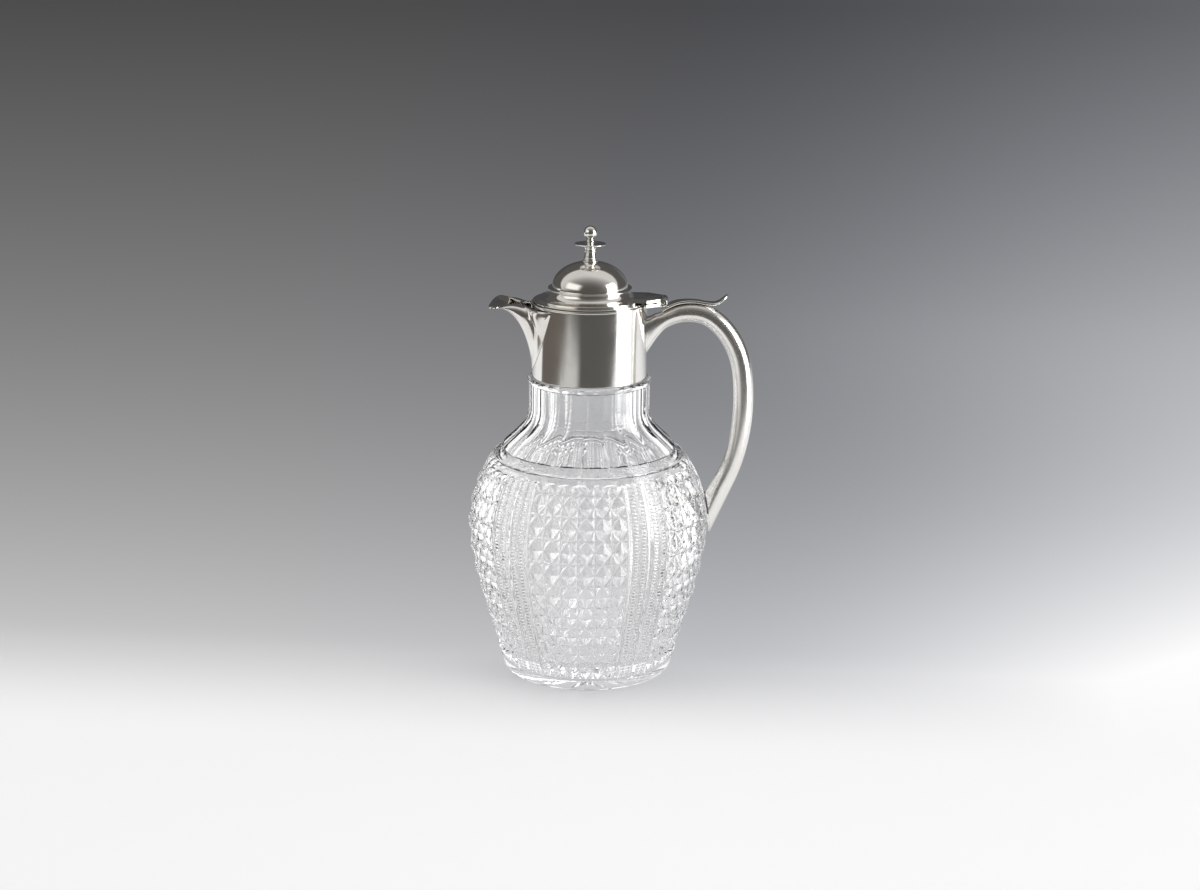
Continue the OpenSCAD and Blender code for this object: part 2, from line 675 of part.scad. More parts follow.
module strap_side() {
    lower = [for (i = [0:2 * strap_end]) spline(strap_rows, i / 2)];
    upper = [for (i = [0:2 * strap_end]) let (
        u = i / 2,
        t = flat(spline(strap_rows, min(u + 0.1, strap_end))
                 - spline(strap_rows, max(u - 0.1, 0))),
        thick = strap_t * (1 - 0.35 * pow(u / strap_end, 3)))
        spline(strap_rows, u) + thick * [-t[1], t[0]]];
    polygon(concat(lower, [for (i = [2 * strap_end:-1:0]) upper[i]]));
}

module strap_plan() {
    tip = reach_at(0.8359);
    wide = reach_at(0.3454);
    narrow = reach_at(0.62);
    waist = middle_half + 0.9;
    polygon([[hinge_x - knuckle_r, -middle_half], [hinge_x + 5, -middle_half],
             [wide, -waist], [narrow, -waist],
             [tip - 6, -thumb_half], [tip - 3, -thumb_half], [tip - 1, -thumb_half + 1.8],
             [tip, -thumb_half + 4], [tip, thumb_half - 4], [tip - 1, thumb_half - 1.8],
             [tip - 3, thumb_half], [tip - 6, thumb_half],
             [narrow, waist], [wide, waist],
             [hinge_x + 5, middle_half], [hinge_x - knuckle_r, middle_half]]);
}

module hinge_strap() {
    color(silver)
        difference() {
            union() {
                intersection() {
                    rotate([90, 0, 0])
                        linear_extrude(height = 4 * thumb_half, center = true)
                            strap_side();
                    translate([0, 0, mount_z])
                        linear_extrude(height = 2 * mount_h)
                            strap_plan();
                }
                along_pin(-middle_half, middle_half, knuckle_r);
            }
            along_pin(-hinge_half - 1, hinge_half + 1, pin_r + fit);
        }
}

module hinge_pin() {
    color(silver)
        along_pin(-hinge_half, hinge_half, pin_r);
}

// ---- Lid ----

// Outer face of the flange from the seat up to the ring, as [radius, height]
flange_face = concat(
    [[seat_r, seat_z], [seat_r, rim_z], [rim_r, rim_z + 0.1], [rim_r + 0.05, hollow_z - 0.3],
     [rim_r - 0.4, hollow_z]],
    bezier([rim_r - 0.9, hollow_z + 0.1], [rim_r - 4, hollow_z + 0.4],
           [hollow_r + 0.3, hollow_z + 1.6], [hollow_r, hollow_z + hollow_h], 7),
    [[hollow_r, hollow_z + hollow_h]]);

module lid_flange() {
    inside = concat(
        [[hollow_r - lid_wall, hollow_z + hollow_h]],
        [for (i = [len(flange_face) - 2:-1:5])
            [min(flange_face[i][0] - lid_wall, bezel_r - 0.8),
             max(flange_face[i][1] - lid_wall * 0.7, rim_z)]],
        [[bezel_r - 0.8, rim_z], [bezel_r - 0.8, seat_z]]);
    color(silver)
        rotate_extrude($fn = round_fn)
            polygon(concat(flange_face, inside));
}

module lid_bezel() {
    color(silver)
        translate([0, 0, seat_z - fit - bezel_h])
            ring(bezel_r - 0.8, bezel_r, bezel_h);
}

// Half of the tongue's plan, tapered from the lid to the hinge; g insets it
function tongue_plan(g) = [
    [rim_r - 6, -tongue_half + g], [mount_r + 0.2, -tongue_half + g],
    [hinge_x - 1.4, -hinge_half + g], [hinge_x, -hinge_half + g],
    [hinge_x, hinge_half - g], [hinge_x - 1.4, hinge_half - g],
    [mount_r + 0.2, tongue_half - g], [rim_r - 6, tongue_half - g]];

module tongue_body() {
    top = hinge_z + knuckle_r;
    step_x = mount_r + wire_proud + 0.6;
    difference() {
        translate([0, 0, top - tongue_h])
            linear_extrude(height = tongue_h)
                polygon(tongue_plan(0));
        // Room over the mouth's wire and the seat
        translate([0, 0, top - tongue_h - 1])
            cylinder(h = rim_z + fit - (top - tongue_h - 1), r = step_x, $fn = round_fn);
        // The lid's own moulding
        rotate_extrude($fn = round_fn)
            polygon(concat([[0, seat_z - 1]],
                [for (p = flange_face) [p[0] + fit, p[1] + (p[1] > rim_z + 0.2 ? fit : 0)]],
                [[0, hollow_z + hollow_h + 1]]));
        // A groove along each flank
        translate([0, 0, top - tongue_h / 2 - 0.4])
            linear_extrude(height = 0.9)
                intersection() {
                    difference() {
                        polygon(tongue_plan(-1));
                        polygon(tongue_plan(0.7));
                    }
                    translate([mount_r + 0.8, -2 * tongue_half])
                        square([hinge_x - mount_r - 4.4, 4 * tongue_half]);
                }
    }
}

module lid_tongue() {
    gap_half = middle_half + rest_gap;
    color(silver)
        difference() {
            union() {
                tongue_body();
                along_pin(-hinge_half, hinge_half, knuckle_r);
            }
            along_pin(-gap_half, gap_half, knuckle_r + 0.35);
            translate([hinge_x, -gap_half, hinge_z - knuckle_r - 1])
                cube([knuckle_r + 1, 2 * gap_half, 2 * knuckle_r + 2]);
            along_pin(-hinge_half - 1, hinge_half + 1, pin_r + fit);
        }
}

module lid_ring() {
    r_in = dome_r - lid_wall - 0.2;
    color(silver)
        rotate_extrude($fn = round_fn)
            polygon([[r_in, ring_z], [ring_r - 0.5, ring_z], [ring_r, ring_z + 0.4],
                     [ring_r, ring_z + 0.8], [ring_r - 0.4, ring_z + ring_h - 0.3],
                     [dome_r + 0.6, ring_z + ring_h], [r_in, ring_z + ring_h]]);
}

// Quarter of the dome's outline, inset by w, from the ring up to the radius r_end
function dome_arc(w, r_end) = let (last = acos(r_end / (dome_r - w)))
    [for (i = [0:12]) let (a = last * i / 12)
        [(dome_r - w) * cos(a), dome_z + (dome_h - w) * sin(a)]];
function dome_height(r, w) = dome_z + (dome_h - w) * sqrt(1 - pow(r / (dome_r - w), 2));

module lid_dome() {
    hole = stud_r + 0.1;
    inner = dome_arc(lid_wall, hole);
    color(silver)
        rotate_extrude($fn = round_fn)
            polygon(concat(dome_arc(0, hole), [for (i = [12:-1:0]) inner[i]]));
}

// ---- Finial ----

module finial_stem() {
    hole = stud_r + 0.1;
    color(silver)
        rotate_extrude($fn = 64)
            polygon([[hole, dome_height(hole, 0) + fit],
                     [finial_foot_r / 2, dome_height(finial_foot_r / 2, 0) + fit],
                     [finial_foot_r, dome_height(finial_foot_r, 0) + fit],
                     [finial_foot_r, dome_top + 0.5], [finial_foot_r - 0.5, dome_top + 0.9],
                     [finial_foot_r - 0.9, dome_top + 1.2], [finial_foot_r - 0.5, dome_top + 1.6],
                     [finial_foot_r - 0.9, dome_top + 2], [stud_r + 2.1, dome_top + 3.4],
                     [stud_r + 1.7, dome_top + 5.6], [stud_r + 2.1, dome_top + 6.1],
                     [stud_r + 1.7, dome_top + 6.6], [stud_r + 1.9, saucer_z - 2],
                     [stud_r + 3.4, saucer_z - 1], [saucer_r - 2.4, saucer_z - 0.3],
                     [saucer_r - 0.2, saucer_z], [saucer_r, saucer_z + 0.25],
                     [saucer_r - 0.4, saucer_z + 0.6], [stud_r + 3, saucer_z + 1.1],
                     [stud_r + 1.3, neck_collar_z], [hole, neck_collar_z]]);
}

module finial_knob() {
    hole = stud_r + fit;
    low = neck_collar_z + fit;
    groove_z = ball_z - ball_r * cos(asin((stud_r + 0.7) / ball_r));
    arc = [for (i = [0:14]) let (
        a0 = asin((stud_r + 0.7) / ball_r), a = a0 + (180 - a0) * i / 14)
        [ball_r * sin(a), ball_z - ball_r * cos(a)]];
    color(silver)
        rotate_extrude($fn = 64)
            polygon(concat(
                [[hole, low], [stud_r + 0.9, low], [stud_r + 1.15, low + 0.35],
                 [stud_r + 0.9, low + 0.8], [stud_r + 0.6, low + 1],
                 [stud_r + 0.5, groove_z]],
                arc, [[0, ball_z + 0.5], [hole, ball_z + 0.5]]));
}

stud_low = dome_height(stud_r, lid_wall) - washer_t - 4.6;

module finial_stud() {
    color(brass_yellow)
        translate([0, 0, stud_low])
            cylinder(h = ball_z - stud_low, r = stud_r, $fn = 48);
}

washer_r = nut_flats / 2 + 1.4;
washer_z = dome_height(washer_r, lid_wall) - fit - washer_t;

module finial_washer() {
    color(brass_yellow)
        translate([0, 0, washer_z])
            ring(stud_r + 0.1, washer_r, washer_t);
}

module finial_nut() {
    high = 2.4;
    color(brass_yellow)
        translate([0, 0, washer_z - fit - high])
            difference() {
                cylinder(h = high, r = nut_flats / 2 / cos(30), $fn = 6);
                translate([0, 0, -1])
                    cylinder(h = high + 2, r = stud_r + fit, $fn = 48);
            }
}

glass_body();
neck_plaster();
neck_mount();
mouth_wire();
spout();
handle();
handle_end_plate();
hinge_strap();
hinge_pin();
lid_flange();
lid_bezel();
lid_tongue();
lid_ring();
lid_dome();
finial_stem();
finial_knob();
finial_stud();
finial_washer();
finial_nut();
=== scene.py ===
"""Claret jug of cut glass with a silver-plated mount, laid out as a Blender add-on.

Lengths are written in millimetres and turned into metres by MM. +Z is up, the spout points
to -X and the handle to +X.
"""

import math

import bpy
import numpy as np
from bpy.props import FloatProperty, FloatVectorProperty, IntProperty, PointerProperty
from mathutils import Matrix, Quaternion, Vector


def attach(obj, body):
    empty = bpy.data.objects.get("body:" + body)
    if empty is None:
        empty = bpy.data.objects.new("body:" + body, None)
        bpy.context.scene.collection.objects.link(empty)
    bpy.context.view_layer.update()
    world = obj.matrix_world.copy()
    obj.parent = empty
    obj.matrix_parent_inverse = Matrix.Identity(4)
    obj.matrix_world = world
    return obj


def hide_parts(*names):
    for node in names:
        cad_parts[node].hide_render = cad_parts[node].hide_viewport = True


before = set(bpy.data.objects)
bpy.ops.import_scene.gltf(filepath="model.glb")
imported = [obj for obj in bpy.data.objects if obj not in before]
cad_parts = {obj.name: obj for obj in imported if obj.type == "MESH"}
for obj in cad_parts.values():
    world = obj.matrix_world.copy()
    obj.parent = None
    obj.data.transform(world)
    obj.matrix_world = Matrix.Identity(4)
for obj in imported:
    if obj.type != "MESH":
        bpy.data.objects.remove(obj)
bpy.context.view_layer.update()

bl_info = {
    "name": "Claret Jug",
    "version": (1, 0, 0),
    "blender": (4, 5, 0),
    "location": "View3D > Sidebar > Claret Jug",
    "description": "Builds a cut-glass claret jug with a silver-plated mount and a hinged lid",
    "category": "Add Mesh",
}

MM = 0.001

# ------------------------------------------------------------------ sizes shared by the pieces

# Clearance between pieces that lie against each other
GAP = 0.03
# Radius of the glass neck at the flats of its flutes
NECK_R = 35.9
LEDGE_Z = 182.0
MOUNT_R = 34.3
MOUNT_WALL = 0.9
MOUNT_IN = MOUNT_R - MOUNT_WALL
MOUNT_Z = LEDGE_Z + 0.1
MOUNT_TOP = MOUNT_Z + 43.9
WIRE_H = 1.2
MOUTH_Z = MOUNT_TOP + GAP + WIRE_H
SEAT_Z = MOUTH_Z + 0.3
RIM_Z = SEAT_Z + 0.8
HOLLOW_Z = RIM_Z + 1.3
HOLLOW_H = 4.9
RING_Z = HOLLOW_Z + HOLLOW_H + GAP
RING_H = 1.5
DOME_Z = RING_Z + RING_H + GAP
DOME_R = 22.6
DOME_H = 15.3
DOME_TOP = DOME_Z + DOME_H
SAUCER_Z = DOME_TOP + 10
COLLAR_Z = SAUCER_Z + 1.6
BALL_R = 4.0
BALL_Z = COLLAR_Z + 1.4 + BALL_R
STUD_R = 1.5
HINGE_X = 43.8
HINGE_Z = MOUTH_Z + 1.2
KNUCKLE_R = 2.5
PIN_R = 1.0
HINGE_HALF = 6.8
MIDDLE_HALF = 3.0
TUBE_R = 6.0
HANDLE_REACH = 92.2
CROWN_Z = 222.0
CROWN_R = TUBE_R - 0.3
CROWN_TOP = CROWN_Z + CROWN_R + 0.1
HEEL_Z = 99.5
HEEL_HALF = 12.5
ROOT_H = 21.0
ROOT_TOP = MOUNT_TOP - 7.7
SEAM_R = MOUNT_R + 0.05
SPOUT_ANGLE = 54.0
SPOUT_REACH = 59.5
SPOUT_RIM = MOUNT_TOP - 1.2


# ------------------------------------------------------------------ settings

class JugGlassSettings(bpy.types.PropertyGroup):
    """Sizes and tint of the cut-glass body"""
    columns: IntProperty(
        name="Columns", description="Columns of diamonds in one panel", default=6, min=3, max=10)
    cut_depth: FloatProperty(
        name="Cut depth", description="Depth of the mitre cuts between the diamonds",
        default=2.1 * MM, min=0.5 * MM, max=3 * MM, subtype="DISTANCE", unit="LENGTH")
    bore: FloatProperty(
        name="Bore", description="Radius of the neck's bore",
        default=28.5 * MM, min=26 * MM, max=29.5 * MM, subtype="DISTANCE", unit="LENGTH")
    tint: FloatVectorProperty(
        name="Tint", description="Colour of the glass",
        default=(0.999, 1.0, 0.999), size=3, min=0, max=1, subtype="COLOR")


class JugSilverSettings(bpy.types.PropertyGroup):
    """Colour and finish of the silver plate"""
    colour: FloatVectorProperty(
        name="Colour", description="Colour of the clean plate",
        default=(0.86, 0.845, 0.815), size=3, min=0, max=1, subtype="COLOR")
    tarnish: FloatVectorProperty(
        name="Tarnish", description="Colour of the thin tarnish in the plate",
        default=(0.66, 0.61, 0.53), size=3, min=0, max=1, subtype="COLOR")
    polish: FloatProperty(
        name="Roughness", description="Roughness of the polished plate",
        default=0.1, min=0.02, max=0.5, subtype="FACTOR")


class JugStageSettings(bpy.types.PropertyGroup):
    """Colours of the floor and backdrop"""
    floor: FloatVectorProperty(
        name="Floor", description="Colour of the floor",
        default=(0.93, 0.93, 0.93), size=3, min=0, max=1, subtype="COLOR")
    wall: FloatVectorProperty(
        name="Wall", description="Colour of the backdrop above the floor",
        default=(0.88, 0.91, 1.0), size=3, min=0, max=1, subtype="COLOR")


# ------------------------------------------------------------------ curves

def bezier(a, b, c, d, steps):
    """Points of a Bezier curve from a to d, without its last point"""
    a, b, c, d = (np.array(p, float) for p in (a, b, c, d))
    ts = [i / steps for i in range(steps)]
    return [tuple((1 - t) ** 3 * a + 3 * (1 - t) ** 2 * t * b + 3 * (1 - t) * t * t * c + t ** 3 * d)
            for t in ts]


def spline(rows, u):
    """Catmull-Rom curve through rows, at the place u from 0 to the last row"""
    last = len(rows) - 1
    i = min(int(math.floor(u)), last - 1)
    t = u - i
    a, b, c, d = (np.array(rows[max(0, min(last, i + k))], float) for k in (-1, 0, 1, 2))
    return 0.5 * (2 * b + (c - a) * t + (2 * a - 5 * b + 4 * c - d) * t * t
                  + (3 * b - a - 3 * c + d) * t ** 3)


def across_line(rows, u):
    """Unit vector (x, z) square to the curve through rows, at the place u"""
    step = spline(rows, min(u + 0.1, len(rows) - 1)) - spline(rows, max(u - 0.1, 0))
    length = math.hypot(step[0], step[1])
    return -step[1] / length, step[0] / length


def rounded(corners, steps=4):
    """Outline whose corners (x, y, radius) are turned into short arcs"""
    out = []
    n = len(corners)
    for i, (x, y, radius) in enumerate(corners):
        p = np.array((x, y), float)
        a = np.array(corners[i - 1][:2], float) - p
        b = np.array(corners[(i + 1) % n][:2], float) - p
        la, lb = np.linalg.norm(a), np.linalg.norm(b)
        if radius <= 0 or la < 1e-6 or lb < 1e-6:
            out.append((x, y))
            continue
        a, b = a / la, b / lb
        cos = max(-1.0, min(1.0, float(a @ b)))
        half = math.acos(cos) / 2
        if half > math.radians(88) or half < math.radians(2):
            out.append((x, y))
            continue
        reach = min(radius / math.tan(half), la * 0.49, lb * 0.49)
        start, end = p + a * reach, p + b * reach
        for k in range(steps + 1):
            t = k / steps
            q = (1 - t) ** 2 * start + 2 * t * (1 - t) * p + t * t * end
            out.append((float(q[0]), float(q[1])))
    return out


BODY_CURVE = (
    [(49.5, 0), (51.1, 1.4)]
    + bezier((51.8, 3.6), (58.5, 26), (73, 66), (73, 92), 24)
    + bezier((73, 92), (73, 107), (66.4, 124.2), (59.2, 132.36), 18)
    + [(59.2, 132.36)]
)
NECK_CURVE = bezier((52.4, 139.2), (46.9, 146.2), (NECK_R, 151.2), (NECK_R, 163), 22) + [(NECK_R, 163)]


def body_radius(z):
    """Radius of the glass at the crests of the cutting"""
    points = BODY_CURVE + NECK_CURVE
    return float(np.interp(z, [p[1] for p in points], [p[0] for p in points]))


# ------------------------------------------------------------------ modelling helpers

def deselect():
    """Leave edit mode and select nothing"""
    if bpy.context.object and bpy.context.object.mode != "OBJECT":
        bpy.ops.object.mode_set(mode="OBJECT")
    bpy.ops.object.select_all(action="DESELECT")


def pick(piece):
    """Make one piece the only selected and active object"""
    deselect()
    piece.select_set(True)
    bpy.context.view_layer.objects.active = piece


def apply_modifier(piece, kind, **values):
    """Add a modifier to a piece and apply it"""
    pick(piece)
    modifier = piece.modifiers.new(kind.title(), kind)
    for key, value in values.items():
        setattr(modifier, key, value)
    bpy.ops.object.modifier_apply(modifier=modifier.name)


def soften_edges(piece, width, segments, degrees):
    """Round off the edges that are sharper than the given angle"""
    apply_modifier(piece, "BEVEL", width=width * MM, segments=segments, limit_method="ANGLE",
                   angle_limit=math.radians(degrees))


def open_all(piece):
    """Take one piece into edit mode with all of it selected"""
    pick(piece)
    bpy.ops.object.mode_set(mode="EDIT")
    bpy.ops.mesh.select_all(action="SELECT")


def flip(piece):
    """Turn all the faces of a piece the other way"""
    open_all(piece)
    bpy.ops.mesh.flip_normals()
    bpy.ops.object.mode_set(mode="OBJECT")


def close_up(piece):
    """Merge doubles, then turn the faces outwards"""
    open_all(piece)
    bpy.ops.mesh.remove_doubles(threshold=1e-6)
    bpy.ops.mesh.delete_loose()
    bpy.ops.mesh.select_all(action="SELECT")
    bpy.ops.mesh.normals_make_consistent(inside=False)
    bpy.ops.object.mode_set(mode="OBJECT")


def smooth(piece, degrees):
    """Shade smooth, except across edges sharper than the given angle"""
    pick(piece)
    bpy.ops.object.shade_smooth_by_angle(angle=math.radians(degrees))


def held_line(outline, long=1.6, hold=0.25, pace=4.0):
    """The outline with extra points on its long straight runs, which keep them flat when shaded"""
    out = [outline[0]]
    for (x0, z0), (x1, z1) in zip(outline, outline[1:]):
        run = math.hypot(x1 - x0, z1 - z0)
        if run > long and min(x0, x1) > 0.5:
            inner = run - 2 * hold
            parts = max(1, round(inner / pace))
            for k in range(parts + 1):
                t = (hold + inner * k / parts) / run
                out.append((x0 + (x1 - x0) * t, z0 + (z1 - z0) * t))
        out.append((x1, z1))
    return out


def turned(name, outline, steps):
    """A piece turned on the lathe: its closed outline (radius, height) is drawn point by point and spun"""
    deselect()
    bpy.ops.mesh.primitive_plane_add(size=MM, location=(0, 0, 0))
    piece = bpy.context.object
    piece.name = name
    bpy.ops.object.mode_set(mode="EDIT")
    bpy.ops.mesh.select_mode(type="VERT")
    bpy.ops.mesh.select_all(action="SELECT")
    bpy.ops.mesh.merge(type="CENTER")
    x, z = outline[0]
    bpy.ops.transform.translate(value=(x * MM, 0, z * MM))
    for nx, nz in held_line(outline + [outline[0]])[1:]:
        bpy.ops.mesh.extrude_region_move(TRANSFORM_OT_translate={"value": ((nx - x) * MM, 0, (nz - z) * MM)})
        x, z = nx, nz
    bpy.ops.mesh.select_all(action="SELECT")
    bpy.ops.mesh.remove_doubles(threshold=1e-7)
    bpy.ops.mesh.select_all(action="SELECT")
    bpy.ops.mesh.spin(steps=steps, angle=2 * math.pi, center=(0, 0, 0), axis=(0, 0, 1))
    bpy.ops.object.mode_set(mode="OBJECT")
    close_up(piece)
    return piece


def mesh_piece(name, points, faces):
    """A piece from points in millimetres and faces"""
    mesh = bpy.data.meshes.new(name)
    mesh.from_pydata([tuple(float(c) * MM for c in p) for p in points], [], [tuple(f) for f in faces])
    mesh.update()
    piece = bpy.data.objects.new(name, mesh)
    bpy.context.scene.collection.objects.link(piece)
    return piece


def hinge_rod(name, radius, half, segments=48, bevel=0.25):
    """A round rod on the hinge's axis with softened ends, as long as half to either side"""
    deselect()
    bpy.ops.mesh.primitive_cylinder_add(
        vertices=segments, radius=radius * MM, depth=2 * half * MM,
        location=(HINGE_X * MM, 0, HINGE_Z * MM), rotation=(math.pi / 2, 0, 0))
    piece = bpy.context.object
    piece.name = name
    bpy.ops.object.transform_apply(location=True, rotation=True, scale=True)
    bpy.ops.object.mode_set(mode="EDIT")
    bpy.ops.mesh.select_all(action="DESELECT")
    bpy.ops.object.mode_set(mode="OBJECT")
    for edge in piece.data.edges:
        a, b = (piece.data.vertices[i].co for i in edge.vertices)
        edge.select = abs(a.y - b.y) < 1e-6
    bpy.ops.object.mode_set(mode="EDIT")
    bpy.ops.mesh.select_mode(type="EDGE")
    bpy.ops.mesh.bevel(offset=bevel * MM, segments=3, affect="EDGES")
    bpy.ops.mesh.select_mode(type="VERT")
    bpy.ops.object.mode_set(mode="OBJECT")
    return piece


def combine(piece, other, operation):
    """Apply a boolean with another shape, which is then removed"""
    apply_modifier(piece, "BOOLEAN", operation=operation, object=other, solver="MANIFOLD")
    bpy.data.objects.remove(other, do_unlink=True)


def cut(piece, cutter):
    """Cut one shape out of a piece"""
    combine(piece, cutter, "DIFFERENCE")


def fuse(piece, other):
    """Make another shape part of a piece"""
    combine(piece, other, "UNION")


def prism(name, outline, axis, low, high):
    """A straight block from an outline across the given axis (0 is X, 1 is Y, 2 is Z)"""
    deselect()
    bpy.ops.mesh.primitive_circle_add(vertices=len(outline), radius=MM, fill_type="NGON", location=(0, 0, 0))
    piece = bpy.context.object
    piece.name = name
    order = {0: (1, 2), 1: (0, 2), 2: (0, 1)}[axis]
    for vertex, point in zip(piece.data.vertices, outline):
        vertex.co[order[0]] = point[0] * MM
        vertex.co[order[1]] = point[1] * MM
        vertex.co[axis] = low * MM
    bpy.ops.object.mode_set(mode="EDIT")
    bpy.ops.mesh.select_all(action="SELECT")
    move = [0, 0, 0]
    move[axis] = (high - low) * MM
    bpy.ops.mesh.extrude_region_move(TRANSFORM_OT_translate={"value": tuple(move)})
    bpy.ops.object.mode_set(mode="OBJECT")
    close_up(piece)
    return piece


def finish_piece(piece, body, material, slot, *nodes, degrees=30):
    """Shade, paint and hand one piece to its body"""
    smooth(piece, degrees)
    piece.data.materials.clear()
    piece.data.materials.append(material)
    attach(piece, body)
    if nodes:
        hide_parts(*nodes)
    return piece


# ------------------------------------------------------------------ materials

def feed(tree, socket, value):
    """Link another node's output to a socket, or give the socket a value of its own"""
    if isinstance(value, bpy.types.NodeSocket):
        tree.links.new(value, socket)
    elif socket.type == "RGBA":
        socket.default_value = (*value, 1.0)
    else:
        socket.default_value = value


def add_node(tree, kind, inputs=None, **settings):
    """A shader node with its settings, and its inputs by name or number as feed takes them"""
    node = tree.nodes.new(kind)
    for key, value in settings.items():
        setattr(node, key, value)
    for name, value in (inputs or {}).items():
        feed(tree, node.inputs[name], value)
    return node


def new_group(name, inputs, outputs):
    """An empty shader node group with its named sockets"""
    group = bpy.data.node_groups.new(name, "ShaderNodeTree")
    for socket, kind, default in inputs:
        made = group.interface.new_socket(name=socket, in_out="INPUT", socket_type=kind)
        made.default_value = default
    for socket in outputs:
        group.interface.new_socket(name=socket, in_out="OUTPUT", socket_type="NodeSocketFloat")
    return group, group.nodes.new("NodeGroupInput"), group.nodes.new("NodeGroupOutput")


def math_node(tree, operation, *values):
    """The result of one operation on values or outputs"""
    return add_node(tree, "ShaderNodeMath", dict(enumerate(values)), operation=operation).outputs[0]


def map_range(tree, value, from_min, from_max, to_min=0.0, to_max=1.0, kind="SMOOTHSTEP"):
    """A soft or a linear step from one value to another"""
    inputs = {"Value": value, "From Min": from_min, "From Max": from_max, "To Min": to_min, "To Max": to_max}
    return add_node(tree, "ShaderNodeMapRange", inputs, interpolation_type=kind).outputs["Result"]


def mix_colour(tree, factor, low, high):
    """The low colour where the factor is 0, the high one where it is 1"""
    inputs = {"Factor": factor, "A": low, "B": high}
    return add_node(tree, "ShaderNodeMix", inputs, data_type="RGBA").outputs["Result"]


def noise(tree, place, scale, detail, roughness=0.5):
    """Soft noise over a place"""
    inputs = {"Vector": place, "Scale": scale, "Detail": detail, "Roughness": roughness}
    return add_node(tree, "ShaderNodeTexNoise", inputs).outputs["Fac"]


def coordinates(tree, kind="Object"):
    """The shaded point's place"""
    return add_node(tree, "ShaderNodeTexCoord").outputs[kind]


def axes(tree, kind="Object"):
    """The shaded point's place as three separate values"""
    return add_node(tree, "ShaderNodeSeparateXYZ", {"Vector": coordinates(tree, kind)}).outputs


def bump(tree, shader, height, strength, distance):
    """Fine relief on a shader"""
    relief = add_node(tree, "ShaderNodeBump", {"Strength": strength, "Distance": distance, "Height": height})
    feed(tree, shader.inputs["Normal"], relief.outputs["Normal"])


def wear_group():
    """Fine hairline scratches and soft cloudy tarnish, as masks and a height"""
    name = "hairlines_and_tarnish"
    if name in bpy.data.node_groups:
        return bpy.data.node_groups[name]
    group, source, result = new_group(
        name,
        [("Scratch scale", "NodeSocketFloat", 900.0), ("Stretch", "NodeSocketVector", (1.0, 1.0, 12.0)),
         ("Cloud scale", "NodeSocketFloat", 45.0)],
        ["Tarnish", "Hairline", "Height"])
    place = coordinates(group)
    stretched = add_node(group, "ShaderNodeMapping", {"Vector": place, "Scale": source.outputs["Stretch"]})
    hair = noise(group, stretched.outputs["Vector"], source.outputs["Scratch scale"], 3.0, 0.6)
    cloud = noise(group, place, source.outputs["Cloud scale"], 4.0, 0.55)
    feed(group, result.inputs["Tarnish"], map_range(group, cloud, 0.45, 0.72, kind="LINEAR"))
    feed(group, result.inputs["Hairline"], map_range(group, hair, 0.52, 0.68, kind="LINEAR"))
    feed(group, result.inputs["Height"], hair)
    return group


def wear_node(tree, scratch_scale, stretch):
    """The shared wear, with one material's own scratches"""
    return add_node(tree, "ShaderNodeGroup", {"Scratch scale": scratch_scale, "Stretch": stretch},
                    node_tree=wear_group()).outputs


def principled(name):
    """A new material with its Principled shader"""
    material = bpy.data.materials.new(name)
    material.use_nodes = True
    tree = material.node_tree
    return material, tree, tree.nodes["Principled BSDF"]


def silver_plate(name, stretch, polish=None, tarnish=0.35):
    """Polished silver plate whose hairlines run across the stretched direction"""
    if name in bpy.data.materials:
        return bpy.data.materials[name]
    settings = bpy.context.scene.jug_silver
    polish = settings.polish if polish is None else polish
    material, tree, shader = principled(name)
    wear = wear_node(tree, 900.0, stretch)
    amount = math_node(tree, "MULTIPLY", wear["Tarnish"], tarnish)
    feed(tree, shader.inputs["Base Color"], mix_colour(tree, amount, settings.colour[:], settings.tarnish[:]))
    rough = math_node(tree, "MULTIPLY_ADD", wear["Hairline"], 0.05, polish)
    rough = math_node(tree, "ADD", rough, math_node(tree, "MULTIPLY", wear["Tarnish"], 0.05))
    feed(tree, shader.inputs["Roughness"], rough)
    bump(tree, shader, wear["Height"], 0.05, 0.00005)
    shader.inputs["Metallic"].default_value = 1.0
    return material


def paint_groove_shade(material, height, half):
    """Painted shade at one height: near-black colour in the bottom of the tongue's grooves, where they lie in
    shadow
    """
    tree = material.node_tree
    base = tree.nodes["Principled BSDF"].inputs["Base Color"]
    place = axes(tree)
    off = math_node(tree, "ABSOLUTE", math_node(tree, "SUBTRACT", place["Z"], height))
    before_hinge = math_node(tree, "LESS_THAN", place["X"], (GROOVE_END + 0.1) * MM)
    mask = math_node(tree, "MULTIPLY", math_node(tree, "LESS_THAN", off, half), before_hinge)
    plate = base.links[0].from_socket
    # Near-black painted shade along the grooves' bottom
    feed(tree, base, mix_colour(tree, mask, plate, (0.07, 0.06, 0.05)))


def cut_glass():
    """Clear polished glass with a fine haze, satin where the mesh's attribute says; there the tint stays full
    while the polished glass is dimmed, a painted highlight on the cut lines
    """
    name = "clear_cut_glass"
    if name in bpy.data.materials:
        return bpy.data.materials[name]
    material, tree, shader = principled(name)
    haze = noise(tree, coordinates(tree), 160.0, 3.0)
    haze = map_range(tree, haze, 0.4, 0.75, 0.0, 0.02, kind="LINEAR")
    satin_and_highlight = add_node(tree, "ShaderNodeAttribute", attribute_name="satin_and_highlight").outputs["Fac"]
    rough = math_node(tree, "MULTIPLY", satin_and_highlight, 0.45)
    feed(tree, shader.inputs["Roughness"], math_node(tree, "MAXIMUM", haze, rough))
    tint = bpy.context.scene.jug_glass.tint[:]
    # The polished glass is dimmed below the satin lines' tint: a painted highlight that lightens the cut
    # lines
    dimmed_polished_tint = tuple(0.98 * c for c in tint)
    feed(tree, shader.inputs["Base Color"], mix_colour(tree, satin_and_highlight, dimmed_polished_tint, tint))
    shader.inputs["Transmission Weight"].default_value = 1.0
    shader.inputs["IOR"].default_value = 1.52
    return material


